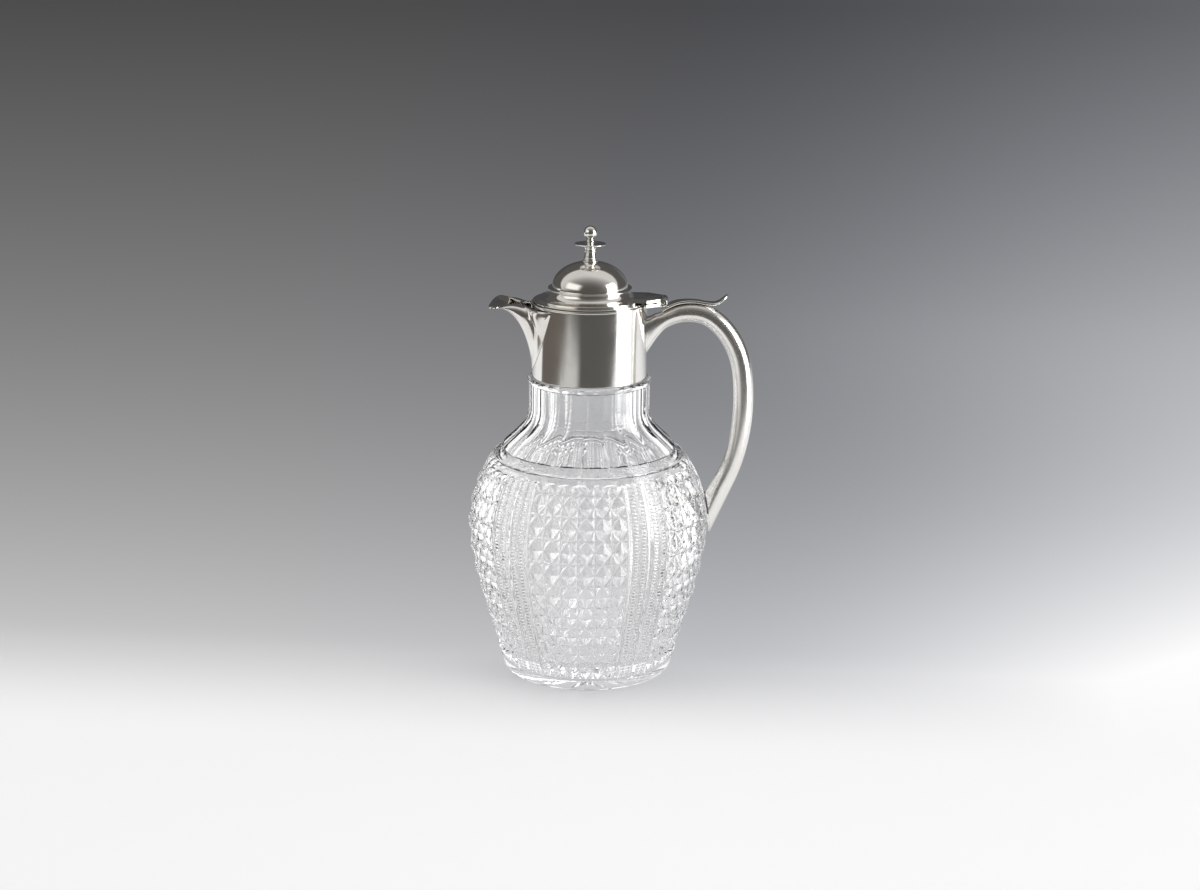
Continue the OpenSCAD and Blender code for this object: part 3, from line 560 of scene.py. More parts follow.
def setting_plaster():
    """Dull off-white plaster with a little mottling"""
    name = "setting_plaster"
    if name in bpy.data.materials:
        return bpy.data.materials[name]
    material, tree, shader = principled(name)
    grain = noise(tree, coordinates(tree), 400.0, 5.0)
    pale = (0.87, 0.85, 0.80)
    dark = tuple(0.8 * c for c in pale)
    feed(tree, shader.inputs["Base Color"], mix_colour(tree, grain, dark, pale))
    bump(tree, shader, grain, 0.3, 0.0002)
    shader.inputs["Roughness"].default_value = 0.85
    return material


def turned_brass():
    """Brass with the marks of the lathe and some brown tarnish"""
    name = "turned_brass"
    if name in bpy.data.materials:
        return bpy.data.materials[name]
    material, tree, shader = principled(name)
    wear = wear_node(tree, 700.0, (1.0, 1.0, 10.0))
    feed(tree, shader.inputs["Base Color"],
         mix_colour(tree, wear["Tarnish"], (0.72, 0.52, 0.25), (0.42, 0.3, 0.16)))
    feed(tree, shader.inputs["Roughness"], math_node(tree, "MULTIPLY_ADD", wear["Hairline"], 0.2, 0.28))
    shader.inputs["Metallic"].default_value = 1.0
    return material


def finish_silver(piece, body, node, name, stretch, degrees=30, **finish):
    """Finish one piece in a silver plate of its own, with the hairlines' stretch that suits it"""
    finish_piece(piece, body, silver_plate(name, stretch, **finish), "silver_plate", node, degrees=degrees)


# ------------------------------------------------------------------ the cut-glass body

CUT_LINES = [7.4, 18.8, 31.3, 43.6, 57.1, 71.1, 85.4, 99.6, 112.8, 124.7]
ZIGZAG_Z = 129.5
PANELS = 5
PANEL_STEP = 360.0 / PANELS
COLUMN_ANGLE = 8.25
# Height of the small pyramids, as a share of the cuts' depth
PYRAMID = 0.42
# Size of the table on a large diamond's point, as a share of the diamond
TABLE = 0.11
# Width of the narrow edge along the cuts, as a share of a large and of a small diamond's facet
LARGE_EDGE = 0.1
SMALL_EDGE = 0.25
# Angle at which the first panel stands, on the jug's -Y side
FRONT = -90.0
FLUTES = 20
FLUTE_STEP = 360.0 / FLUTES
# Points in each plain ring round the glass
AROUND = 240
GLASS_WALL = 7
BASE_Z = 13.6
SPIGOT_R = 32.6
SPIGOT_TOP = 191.5
# The star in the base: its rays, and the radius of their inner ends, deepest points and tips
STAR_RAYS = 24
STAR_IN = 11.0
STAR_MID = 15.0
STAR_TIP = 41.0
STAR_DEPTH = 1.6
# How satin the glass is in the cuts and on the inner wall, from 0 to 1; the same share lightens the glass's
# tint there as a painted highlight
CUT_SATIN_AND_HIGHLIGHT = 1.0
INNER_SATIN_AND_HIGHLIGHT = 0.3


class GlassMesh:
    """Points by angle, radius and height, joined into faces"""

    def __init__(self):
        self.points = []
        self.angles = []
        self.satin_and_highlight = []
        self.faces = []

    def point(self, angle, radius, z, satin_and_highlight=0.0):
        """A new point; gives its number, as the other methods that make points do"""
        a = math.radians(angle)
        self.points.append((radius * math.cos(a), radius * math.sin(a), z))
        self.angles.append(angle)
        self.satin_and_highlight.append(satin_and_highlight)
        return len(self.points) - 1

    def between(self, a, b, share):
        """A point on the line from a to b"""
        self.points.append(tuple(p + (q - p) * share for p, q in zip(self.points[a], self.points[b])))
        self.angles.append(self.angles[a])
        self.satin_and_highlight.append(0.0)
        return len(self.points) - 1

    def facets(self, corners, tops, share):
        """Facets from a ring of cuts up to a ring of tops or one apex, with a narrow edge along the cuts"""
        n = len(corners)
        inner = [self.between(corners[k], tops[k % len(tops)], share) for k in range(n)]
        for k in range(n):
            j = (k + 1) % n
            self.face(corners[k], corners[j], inner[j], inner[k])
            if len(tops) == 1:
                self.face(inner[k], inner[j], tops[0])
            else:
                self.face(inner[k], inner[j], tops[j], tops[k])

    def face(self, *corners):
        """A new face from the numbers of its points"""
        self.faces.append(corners)

    def ring(self, radius, z, start, satin_and_highlight=0.0):
        """A full ring of points from a start angle; radius and the share of satin and painted highlight may
        depend on the angle
        """
        made = []
        for k in range(AROUND):
            angle = start + 360.0 * k / AROUND
            r = radius(angle) if callable(radius) else radius
            made.append(self.point(angle, r, z, satin_and_highlight(angle) if callable(satin_and_highlight) else satin_and_highlight))
        return made

    def band(self, low, high):
        """Quads between two rings of the same count"""
        n = len(low)
        for k in range(n):
            j = (k + 1) % n
            self.face(low[k], low[j], high[j], high[k])

    def climb(self, ring, rows, start, satin_and_highlight=0.0):
        """Bands from a ring through rows of (height, radius); gives the last ring"""
        for z, radius in rows:
            following = self.ring(radius, z, start, satin_and_highlight)
            self.band(ring, following)
            ring = following
        return ring

    def zip_rings(self, low, high):
        """Triangles between two rings of any count, both in order of angle from the same start"""
        low_angles = [self.angles[i] for i in low] + [self.angles[low[0]] + 360.0]
        high_angles = [self.angles[i] for i in high] + [self.angles[high[0]] + 360.0]
        self._zip(low + [low[0]], high + [high[0]], low_angles, high_angles)

    def zip_lines(self, right, left):
        """Triangles between two upright lines of points, both in order of height"""
        self._zip(left, right, [self.points[i][2] for i in left], [self.points[i][2] for i in right])

    def _zip(self, a, b, ka, kb):
        """Triangles between the lines of points a and b, whose places along the line are ka and kb"""
        i = j = 0
        while i < len(a) - 1 or j < len(b) - 1:
            step_a = j == len(b) - 1 or (i < len(a) - 1 and ka[i + 1] <= kb[j + 1])
            if step_a:
                self.face(a[i], a[i + 1], b[j])
                i += 1
            else:
                self.face(a[i], b[j + 1], b[j])
                j += 1


def build_panel(glass, centre, depth, columns):
    """One panel of diamonds: every other diamond is quartered by the upright and level cuts"""
    small = depth * PYRAMID
    first = centre - COLUMN_ANGLE * columns / 2
    heights = []
    for low, high in zip(CUT_LINES, CUT_LINES[1:]):
        heights += [low, (low + high) / 2]
    heights.append(CUT_LINES[-1])
    nodes = {}
    for row, z in enumerate(heights):
        for col in range(2 * columns + 1):
            if row % 2 == 1 and col % 2 == 1:
                continue
            angle = first + col * COLUMN_ANGLE / 2
            nodes[row, col] = glass.point(angle, body_radius(z) - depth, z, CUT_SATIN_AND_HIGHLIGHT)
    left_line = [nodes[row, 0] for row in range(len(heights))]
    right_line = [nodes[row, 2 * columns] for row in range(len(heights))]
    for row in range(0, len(heights) - 1, 2):
        for col in range(0, 2 * columns, 2):
            z0, z1, z2 = heights[row], heights[row + 1], heights[row + 2]
            angle = first + (col + 1) * COLUMN_ANGLE / 2
            bottom, top = nodes[row, col + 1], nodes[row + 2, col + 1]
            left, right = nodes[row + 1, col], nodes[row + 1, col + 2]
            # The large diamond, with a small polished table on its point
            r = body_radius(z1) - depth * TABLE * 0.9
            tops = [glass.point(angle, r - 0.02, z1 - (z1 - z0) * TABLE),
                    glass.point(angle + COLUMN_ANGLE / 2 * TABLE, r, z1),
                    glass.point(angle, r - 0.02, z1 + (z2 - z1) * TABLE),
                    glass.point(angle - COLUMN_ANGLE / 2 * TABLE, r, z1)]
            glass.facets([bottom, right, top, left], tops, LARGE_EDGE)
            glass.face(*tops)
            # The four small pyramids in the cell's corners
            for row_c, col_c, a, b in ((row, col, bottom, left), (row, col + 2, right, bottom),
                                       (row + 2, col + 2, top, right), (row + 2, col, left, top)):
                corner = nodes[row_c, col_c]
                width = math.radians(COLUMN_ANGLE / 2) * body_radius(z1)
                tall = z1 - z0
                slant = math.hypot(width, tall)
                inset = (width + tall - slant) / 2
                side = 1 if col_c > col else -1
                up = 1 if row_c > row else -1
                zc = heights[row_c] - up * inset
                ac = first + col_c * COLUMN_ANGLE / 2 - side * math.degrees(inset / body_radius(zc))
                apex = glass.point(ac, body_radius(zc) - depth + small, zc)
                glass.facets([a, b, corner], [apex], SMALL_EDGE)
    # The half row of zigzag at the top, with small pyramids in its valleys
    aside, rise = 0.34, 0.3
    base = [nodes[len(heights) - 1, col] for col in range(2 * columns + 1)]
    top_z = heights[-1]
    crest = []
    for col in range(2 * columns + 1):
        angle = first + col * COLUMN_ANGLE / 2
        deep = depth * 0.8 if col % 2 == 0 else 0.05
        crest.append(glass.point(angle, body_radius(ZIGZAG_Z) - deep, ZIGZAG_Z))
    for col in range(1, 2 * columns, 2):
        left, mid, right = base[col - 1], base[col], base[col + 1]
        glass.face(mid, crest[col], crest[col - 1])
        glass.face(mid, crest[col + 1], crest[col])
        for node, peak, side in ((left, crest[col - 1], -1), (right, crest[col + 1], 1)):
            angle = first + col * COLUMN_ANGLE / 2 + side * COLUMN_ANGLE * aside
            z = top_z + (ZIGZAG_Z - top_z) * rise
            apex = glass.point(angle, body_radius(z) - depth + small, z)
            ring = (mid, peak, node) if side < 0 else (mid, node, peak)
            for k in range(3):
                glass.face(apex, ring[k], ring[(k + 1) % 3])
    bottom = [nodes[0, col] for col in range(2 * columns + 1)]
    return left_line + [crest[0]], right_line + [crest[-1]], bottom, crest


def build_ladder(glass, centre):
    """A band of four notched ridges in two pairs, with a plain strip between the pairs"""
    ridge, strip, slope, rim = 4.1, 1.0, 0.35, 0.45
    deep = {"valley": 1.35, "plain": 0.3}
    notch = 1.04
    low, high = CUT_LINES[0], ZIGZAG_Z
    steps = int(round((high - low) / notch / 2)) * 2
    heights = [low + (high - low) * k / steps for k in range(steps + 1)]
    edge = strip + slope + 2 * ridge
    lines = [(-edge - rim, "plain"), (-edge, "valley"), (-edge + ridge / 2, "crest"),
             (-edge + ridge, "valley"), (-edge + 1.5 * ridge, "crest"), (-strip - slope, "valley"),
             (-strip, "plain"), (strip, "plain"),
             (strip + slope, "valley"), (edge - 1.5 * ridge, "crest"), (edge - ridge, "valley"),
             (edge - ridge / 2, "crest"), (edge, "valley"), (edge + rim, "plain")]
    made = []
    for offset, kind in lines:
        column = []
        for k, z in enumerate(heights):
            # Every other point of a crest is notched
            below = (0.1 if k % 2 == 0 else 1.0) if kind == "crest" else deep[kind]
            satin_and_highlight = CUT_SATIN_AND_HIGHLIGHT if kind == "crest" and k % 2 == 0 or kind == "valley" else 0.0
            column.append(glass.point(centre + offset, body_radius(z) - below, z, satin_and_highlight))
        made.append(column)
    for a, b in zip(made, made[1:]):
        for k in range(steps):
            glass.face(a[k], b[k], b[k + 1], a[k + 1])
    return made[0], made[-1], [c[0] for c in made], [c[-1] for c in made]


def off_flute(angle):
    """Angle from the middle of the nearest flute of the neck"""
    return abs((angle - FRONT) % FLUTE_STEP - FLUTE_STEP / 2)


def flute_radius(flat, hollow):
    """Radius by angle round the fluted neck, whose flutes are slightly hollow"""
    def radius(angle):
        off = off_flute(angle)
        chord = flat / math.cos(math.radians(off))
        return chord - hollow * (1 - (off / (FLUTE_STEP / 2)) ** 2)

    return radius


def flute_satin_and_highlight(angle):
    """Satin and painted highlight by angle round the neck: only the narrow edges between the flutes"""
    return CUT_SATIN_AND_HIGHLIGHT if off_flute(angle) > FLUTE_STEP / 2 - 0.2 else 0.0


def build_cutting(glass):
    """The panels and ladders round the body; gives the loops of points at their bottom and top"""
    settings = bpy.context.scene.jug_glass
    first_ladder = FRONT - PANEL_STEP / 2
    panels = [build_panel(glass, FRONT + PANEL_STEP * k, settings.cut_depth / MM, settings.columns)
              for k in range(PANELS)]
    ladders = [build_ladder(glass, first_ladder + PANEL_STEP * k) for k in range(PANELS)]
    bottom_loop, top_loop = [], []
    for k in range(PANELS):
        left, right, bottom, top = panels[k]
        _, ladder_right, ladder_bottom, ladder_top = ladders[k]
        glass.zip_lines(left, ladder_right)
        glass.zip_lines(ladders[(k + 1) % PANELS][0], right)
        bottom_loop += ladder_bottom + bottom
        top_loop += ladder_top + top
    # Angles that grow all the way round, from the middle of the first ladder
    for loop in (bottom_loop, top_loop):
        for before, index in zip(loop, loop[1:]):
            if glass.angles[index] < glass.angles[before] - 180:
                glass.angles[index] += 360.0
    return bottom_loop, top_loop


def build_foot(glass, bottom_loop, first):
    """The plain foot below the cutting, and the star cut in the base"""
    ring = glass.ring(body_radius(7.0), 7.0, first)
    glass.zip_rings(ring, bottom_loop)
    for z, r in [(3.6, body_radius(3.6) - 0.1), (1.2, 50.9), (0.35, 50.2), (0.0, 49.3)]:
        below = glass.ring(r, z, first)
        glass.band(below, ring)
        ring = below
    star = []
    centre = glass.point(first, 0.0, 0.9)
    turns = [first + 360.0 * k / STAR_RAYS for k in range(STAR_RAYS)]
    half = 180.0 / STAR_RAYS
    mids = [glass.point(turn + half, STAR_MID, STAR_DEPTH) for turn in turns]
    for turn in turns:
        star.append(glass.point(turn, STAR_IN, 0.0))
        star.append(glass.point(turn + half, STAR_TIP, 0.0))
    for k, mid in enumerate(mids):
        ridge, tip, following = star[2 * k], star[2 * k + 1], star[(2 * k + 2) % len(star)]
        glass.face(centre, mid, ridge)
        glass.face(centre, following, mid)
        glass.face(ridge, mid, tip)
        glass.face(mid, following, tip)
    glass.zip_rings(star, ring)


def build_glass():
    """The cut-glass body in one skin: cutting, foot, shoulder, neck, ledge, spigot and inner wall"""
    bore = bpy.context.scene.jug_glass.bore / MM
    glass = GlassMesh()
    bottom_loop, top_loop = build_cutting(glass)
    first = glass.angles[bottom_loop[0]]
    build_foot(glass, bottom_loop, first)
    # Shoulder with its two ring cuts
    plain_z = ZIGZAG_Z + 1.2
    ring = glass.ring(body_radius(plain_z), plain_z, first)
    glass.zip_rings(top_loop, ring)
    ring = glass.climb(ring, [
        (131.9, body_radius(131.9) - 0.02), (132.5, 59.0), (132.75, 58.3), (133.2, 57.2), (133.55, 57.5),
        (134.3, 57.7), (134.9, 57.45), (135.6, 56.75), (136.6, 55.3), (137.2, 54.1), (137.6, 53.0),
        (138.2, 51.75), (138.7, 52.0)], first)
    # Fluted neck
    neck = NECK_CURVE + [(NECK_R, 166 + 2.0 * k) for k in range(7)]
    rows = [(z, flute_radius(flat, 0.3 if k else 0.1)) for k, (flat, z) in enumerate(neck)]
    ring = glass.climb(ring, rows, first, flute_satin_and_highlight)
    # Ledge, satin on top with a painted highlight, and the spigot inside the mount
    ring = glass.climb(ring, [(178.4, 36.25), (178.65, 36.5), (179.2, 36.75), (180.2, 37.05), (180.7, 37.05),
                              (181.1, 36.75)], first)
    ring = glass.climb(ring, [(LEDGE_Z, 35.3), (LEDGE_Z, SPIGOT_R)], first, CUT_SATIN_AND_HIGHLIGHT)
    ring = glass.climb(ring, [(SPIGOT_TOP - 0.3, SPIGOT_R), (SPIGOT_TOP, SPIGOT_R - 0.3),
                              (SPIGOT_TOP, bore + 0.6), (SPIGOT_TOP - 0.3, bore)], first)
    # Inner wall, from the top down to the bottom
    corner = body_radius(21) - GLASS_WALL
    inner = [(float(z), max(body_radius(z) - GLASS_WALL, bore)) for z in np.linspace(188, 24, 60)]
    inner += [(21.0, corner), (19.4, corner - 0.25), (18.2, corner - 0.6), (16.8, corner - 1.5),
              (15.8, corner - 2.6), (14.7, corner - 4.6), (14.0, corner - 7.5), (BASE_Z + 0.1, corner - 16),
              (BASE_Z, 20), (BASE_Z, 8)]
    for z, r in inner:
        satin_and_highlight = INNER_SATIN_AND_HIGHLIGHT * min(max((150.0 - z) / 20, 0.0), 1.0)
        ring = glass.climb(ring, [(z, r)], first, satin_and_highlight)
    middle = glass.point(first, 0.0, BASE_Z, INNER_SATIN_AND_HIGHLIGHT)
    for k in range(AROUND):
        glass.face(ring[k], ring[(k + 1) % AROUND], middle)
    piece = mesh_piece("cut_glass_body", glass.points, glass.faces)
    piece.data.attributes.new("satin_and_highlight", "FLOAT", "POINT").data.foreach_set("value", glass.satin_and_highlight)
    open_all(piece)
    bpy.ops.mesh.quads_convert_to_tris(quad_method="BEAUTY", ngon_method="BEAUTY")
    bpy.ops.mesh.normals_make_consistent(inside=False)
    bpy.ops.object.mode_set(mode="OBJECT")
    finish_piece(piece, "jug", cut_glass(), "cut_glass", "glass_body", degrees=9)


# ------------------------------------------------------------------ neck mount and spout

def build_neck_mount():
    """The sleeve on the neck, with the way into the spout cut through it"""
    sleeve = turned("neck_mount_sleeve", rounded([
        (MOUNT_IN, MOUNT_Z, 0), (MOUNT_R, MOUNT_Z, 0.25), (MOUNT_R, MOUNT_TOP, 0.1),
        (MOUNT_IN, MOUNT_TOP, 0)]), 240)
    low, top = LEDGE_Z + 15.6, SPOUT_RIM - 1.5
    half = MOUNT_R * math.sin(math.radians(SPOUT_ANGLE - 16))
    way = prism("pour_way", [(-3, low), (3, low), (6, low + 3), (half, top), (-half, top), (-6, low + 3)],
                0, -1.5 * MOUNT_R, -0.5 * MOUNT_R)
    cut(sleeve, way)
    finish_silver(sleeve, "jug", "neck_mount", "silver_sleeve", (1.0, 1.0, 14.0))


def build_mouth_wire():
    """The half-round wire on the mouth"""
    low, inner, outer = MOUNT_TOP + GAP, MOUNT_IN - 0.3, MOUNT_R + 0.5
    wire = turned("mouth_wire_ring", rounded([
        (inner, low, 0.2), (outer, low, 0.5), (outer, MOUTH_Z, 0.5), (inner, MOUTH_Z, 0.2)], 6), 200)
    finish_silver(wire, "jug", "mouth_wire", "silver_wire", (1.0, 1.0, 6.0))


def rim_line():
    """One side of the spout's rim from the tip to the mount"""
    lip_half, throat_half = 18.4, 4.6
    r, w, c, z = SPOUT_REACH, lip_half, throat_half, SPOUT_RIM
    end_x = SEAM_R * math.cos(math.radians(SPOUT_ANGLE))
    end_y = SEAM_R * math.sin(math.radians(SPOUT_ANGLE))
    return [(r, 0, z - 1), (r - 0.2, w / 2, z - 0.9), (r - 1.2, w - 3.4, z - 0.5),
            (r - 3.2, w - 0.4, z + 0.1), (r - 6, w, z), (r - 8.6, w - 2.9, z + 0.7),
            (r - 11, c + 7.2, z + 1.3), (r - 13.4, c + 3.6, z + 1.3), (r - 16.4, c + 0.5, z + 0.8),
            (r - 19.2, c, z + 0.3), (MOUNT_R + 3, c + 2.6, z), (MOUNT_R - 0.6, c + 8.6, z),
            ((MOUNT_R + end_x) / 2 + 1, end_y - 5.6, z + 0.1), (end_x, end_y, z)]


def spout_place(rim, s, q):
    """A point of the spout's outer skin: s across from -1 to 1, q from 0 at the seam to 90 at the rim"""
    m = abs(s)
    side = 1 if s > 0 else -1
    edge = spline(rim, m * (len(rim) - 1))
    angle = math.radians(SPOUT_ANGLE * m)
    low = MOUNT_Z + 3
    seam = np.array((SEAM_R * math.cos(angle), SEAM_R * math.sin(angle), low + (SPOUT_RIM - low) * m ** 2.6))
    c, n = max(0.0, math.cos(math.radians(q))), math.sin(math.radians(q))
    # Near the ends of the seam the skin leaves the mount sooner
    crease = min(max((m - 0.6) / 0.3, 0.0), 1.0)
    crease *= crease * (3 - 2 * crease)
    out = (1 - c ** (0.7 + 0.3 * m)) * (1 - crease) + crease * n ** 1.3
    wide = 1 - c ** (0.45 + 0.55 * m)
    x = seam[0] + (edge[0] - seam[0]) * out
    y = seam[1] + (edge[1] - seam[1]) * wide
    z = seam[2] + (edge[2] - seam[2]) * n ** (4 / 3 - m / 3)
    grow = max(1.0, (SEAM_R + min(1.0, q / 24)) / math.hypot(x, y))
    return (-x * grow, -side * y * grow, z)


def shaped_grid(name, across, along, place):
    """A grid bent to shape: place(u, v) gives each of its points, with u and v from 0 to 1"""
    deselect()
    bpy.ops.mesh.primitive_grid_add(x_subdivisions=across, y_subdivisions=along, size=2, location=(0, 0, 0))
    piece = bpy.context.object
    piece.name = name
    for vertex in piece.data.vertices:
        u, v = (vertex.co.x + 1) / 2, (vertex.co.y + 1) / 2
        vertex.co = Vector(tuple(float(c) * MM for c in place(u, v)))
    piece.data.update()
    return piece


def build_spout():
    """The pouring spout, raised from one sheet"""
    rim = rim_line()
    spout = shaped_grid("pouring_spout", 120, 48,
                        lambda u, v: spout_place(rim, (2 * u - 1) * 0.985, 3 + 87 * v))
    breast = Vector((-55 * MM, 0, 218 * MM))
    middle = min(spout.data.polygons, key=lambda f: (f.center - breast).length)
    if middle.normal.x > 0:
        flip(spout)
    apply_modifier(spout, "SOLIDIFY", thickness=1.0 * MM, offset=-1.0, use_even_offset=False)
    # No point of the sheet lies inside the seam's radius
    for vertex in spout.data.vertices:
        r = math.hypot(vertex.co.x, vertex.co.y)
        if r < SEAM_R * MM:
            vertex.co.x *= SEAM_R * MM / r
            vertex.co.y *= SEAM_R * MM / r
    soften_edges(spout, 0.3, 3, 55)
    finish_silver(spout, "jug", "spout", "silver_spout", (3.0, 3.0, 3.0), tarnish=0.5, degrees=50)


# ------------------------------------------------------------------ handle

def handle_stations():
    """Stations down the handle: distance from the axis, height, half width, how much wider the top
    is than the bottom, half height, squareness and lean"""
    m, r, t, c, h = MOUNT_R, HANDLE_REACH, TUBE_R, CROWN_Z, HEEL_Z
    half = ROOT_H / 2
    root = ROOT_TOP - half
    return [
        (SEAM_R, root, 7.4, 0.15, half, 0.65, 0), (m + 2.3, root + 2.4, 7, 0.12, half - 1.5, 0.7, 0.05),
        (m + 5.1, root + 5.5, 6.6, 0.1, half - 3.3, 0.75, 0.15),
        (m + 8.7, root + 8.5, t + 0.2, 0.06, t - 0.65, 0.85, 0.4),
        (m + 13.2, c - 3.0, t, 0.02, t - 0.75, 1, 0.6), (m + 19.2, c - 0.7, t - 0.1, 0, t - 0.5, 1, 0.9),
        (m + 25.7, c, t - 0.1, 0, CROWN_R, 1, 1), (m + 32.2, c - 0.7, t, 0, t - 0.25, 1, 1),
        (m + 38.9, c - 3.6, t, 0, t - 0.1, 1, 1), (r - 11.5, c - 10.5, t, 0, t, 1, 1),
        (r - 5.3, c - 20.4, t, 0, t, 1, 1), (r - 1.5, c - 32, t, 0, t, 1, 1),
        (r + 0.05, c - 47, t, 0, t, 1, 1),
        (r - 0.3, h + 58.5, t, 0, t, 1, 1), (r - 2.8, h + 41.5, t, 0, t - 0.2, 1, 1),
        (r - 6.9, h + 27.5, t, 0, t - 0.2, 1, 1), (body_radius(h) + 7.3, h + 15.5, t, 0, t + 0.2, 1, 1)]


def signed_power(value, exponent):
    """A power that keeps the sign; below 1 it squares up a round section"""
    return math.copysign(abs(value) ** exponent, value)


def handle_place(rows, u, turn):
    """A point of the tube at the station u and the angle turn"""
    reach, height, half_width, wider, half_height, square, lean = spline(rows, u)
    lean = max(0.0, min(1.0, lean))
    across = across_line(rows, u)
    nx, nz = across[0] * lean, across[1] * lean + (1 - lean)
    size = math.hypot(nx, nz)
    up = signed_power(math.sin(turn), square)
    x = reach + nx / size * half_height * up
    y = half_width * (1 + wider * up) * signed_power(math.cos(turn), square)
    if u <= 0:
        x = math.sqrt((SEAM_R + 0.05) ** 2 - y * y)
    return np.array((x, y, height + nz / size * half_height * up))


def heel_place(distance, turn):
    """A point of the handle's slanted lower end, at a distance from the glass"""
    y = (TUBE_R + 0.3) * math.cos(turn)
    z = HEEL_Z - HEEL_HALF * math.sin(turn)
    r = body_radius(z) + distance
    return np.array((math.sqrt(r * r - y * y), y, z))


def build_handle():
    """The tube handle, from its flared root on the mount down to the end plate on the glass"""
    rows = handle_stations()
    last = len(rows) - 1
    # Share of the grid above the slanted end, and the end plate's room off the glass
    share, heel_room = 0.94, 1.35

    def place(u, v):
        turn = -2 * math.pi * u
        if v <= share:
            return handle_place(rows, v / share * last, turn)
        start = handle_place(rows, last, turn)
        return start + (heel_place(heel_room, turn) - start) * ((v - share) / (1 - share))

    tube = shaped_grid("tube_handle", 64, 150, place)
    close_up(tube)
    outermost = max(tube.data.polygons, key=lambda f: f.center.x)
    if outermost.normal.x < 0:
        flip(tube)
    apply_modifier(tube, "SOLIDIFY", thickness=1.0 * MM, offset=-1.0)
    finish_silver(tube, "jug", "handle", "silver_tube", (2.0, 2.0, 2.0), polish=0.2, degrees=45)


# ------------------------------------------------------------------ hinge

STRAP_T = 2.0
STRAP_LOW = CROWN_TOP - 1
# Half width of the strap at distances from the mount
STRAP_WIDTHS = [(7, 6.75), (14.5, 6.6), (16.8, 5.8), (19.7, 4.7), (23.2, 3.9), (29, 3.3), (36.5, 3.3),
                (40, 3.9), (43.1, 4.7), (45.2, 4.4), (46.7, 3.5), (47.5, 2.1), (48, 0.9)]


def strap_line():
    """Side line of the strap's lower face, from its foot under the hinge to the thumb rest's tip"""
    m, top, low = MOUNT_R, CROWN_TOP, STRAP_LOW
    return [(m + 9.6, top - 4.85), (m + 11.9, top - 3.5), (m + 15.2, top - 1.8), (m + 18.4, top - 0.75),
            (m + 22, top - 0.15), (m + 25.7, top + 0.05), (m + 30.2, top - 0.2), (m + 33.2, top - 0.7),
            (m + 36.1, low + 0.05), (m + 38.2, low), (m + 40, low + 0.2), (m + 43, low + 1.35),
            (m + 45.8, low + 3.65), (m + 47.6, low + 5.4)]


def strap_width(x):
    """Half width of the strap at a distance from the axis"""
    return float(np.interp(x, [MOUNT_R + distance for distance, _ in STRAP_WIDTHS],
                           [width for _, width in STRAP_WIDTHS]))


def pin_bore(segments):
    """The hole for the hinge pin, as a shape to cut with"""
    return hinge_rod("pin_bore", PIN_R + GAP, HINGE_HALF + 1, segments, bevel=0.05)


def build_strap():
    """The strap on the handle's crown with the hinge's middle knuckle and the thumb rest"""
    rows = strap_line()
    last = len(rows) - 1

    def place(u, v):
        low = spline(rows, v * last)
        nx, nz = across_line(rows, v * last)
        # The strap thins towards the thumb rest's tip
        thick = STRAP_T * (1 - 0.3 * v ** 3)
        turn = 2 * math.pi * u
        h = thick / 2 * (1 + signed_power(math.sin(turn), 0.55))
        x, z = low[0] + nx * h, low[1] + nz * h
        y = (strap_width(x) - 0.05) * signed_power(math.cos(turn), 0.4)
        return (x, y, z)

    strap = shaped_grid("crown_strap", 48, 72, place)
    open_all(strap)
    bpy.ops.mesh.remove_doubles(threshold=1e-6)
    bpy.ops.mesh.select_all(action="SELECT")
    bpy.ops.mesh.fill_holes(sides=0)
    bpy.ops.object.mode_set(mode="OBJECT")
    close_up(strap)
    cut(strap, hinge_rod("knuckle_room", KNUCKLE_R + 0.3, HINGE_HALF + 1, bevel=0.05))
    foot = spline(rows, 0.5)
    post = [(foot[0] - 0.6, foot[1] + STRAP_T / 2), (foot[0] + 1.4, foot[1] + STRAP_T),
            (HINGE_X + KNUCKLE_R - 0.2, HINGE_Z - 0.6), (HINGE_X - 1.9, HINGE_Z - 1)]
    fuse(strap, prism("knuckle_post", post, 1, 0.05 - MIDDLE_HALF, MIDDLE_HALF - 0.05))
    fuse(strap, hinge_rod("middle_knuckle", KNUCKLE_R, MIDDLE_HALF))
    cut(strap, pin_bore(48))
    finish_silver(strap, "jug", "hinge_strap", "silver_strap", (2.0, 6.0, 2.0), degrees=40)


def build_hinge_pin():
    """The pin through the three knuckles"""
    pin = hinge_rod("hinge_pin_rod", PIN_R, HINGE_HALF, 40, 0.2)
    finish_silver(pin, "jug", "hinge_pin", "silver_pin", (1.0, 4.0, 1.0))


# ------------------------------------------------------------------ lid

SEAT_R = 34.0
RIM_R = 31.2
HOLLOW_R = 23.9
# Inner radius of the flange
FLANGE_IN = MOUNT_IN - 1.6
TONGUE_START = MOUNT_R + 0.2
TONGUE_END = HINGE_X - 1.4
TONGUE_HALF = 12.4
GROOVE_END = HINGE_X - 3.6


def lid_face():
    """Outer face of the lid's flange from the seat up to the ring"""
    return ([(SEAT_R - 0.2, SEAT_Z), (SEAT_R, SEAT_Z + 0.2), (SEAT_R, RIM_Z - 0.25), (SEAT_R - 0.25, RIM_Z),
             (RIM_R + 0.25, RIM_Z + 0.05), (RIM_R, RIM_Z + 0.2), (RIM_R + 0.05, HOLLOW_Z - 0.45),
             (RIM_R - 0.1, HOLLOW_Z - 0.15), (RIM_R - 0.4, HOLLOW_Z)]
            + bezier((RIM_R - 0.9, HOLLOW_Z + 0.1), (RIM_R - 4, HOLLOW_Z + 0.4),
                     (HOLLOW_R + 0.3, HOLLOW_Z + 1.6), (HOLLOW_R, HOLLOW_Z + HOLLOW_H), 18)
            + [(HOLLOW_R, HOLLOW_Z + HOLLOW_H)])


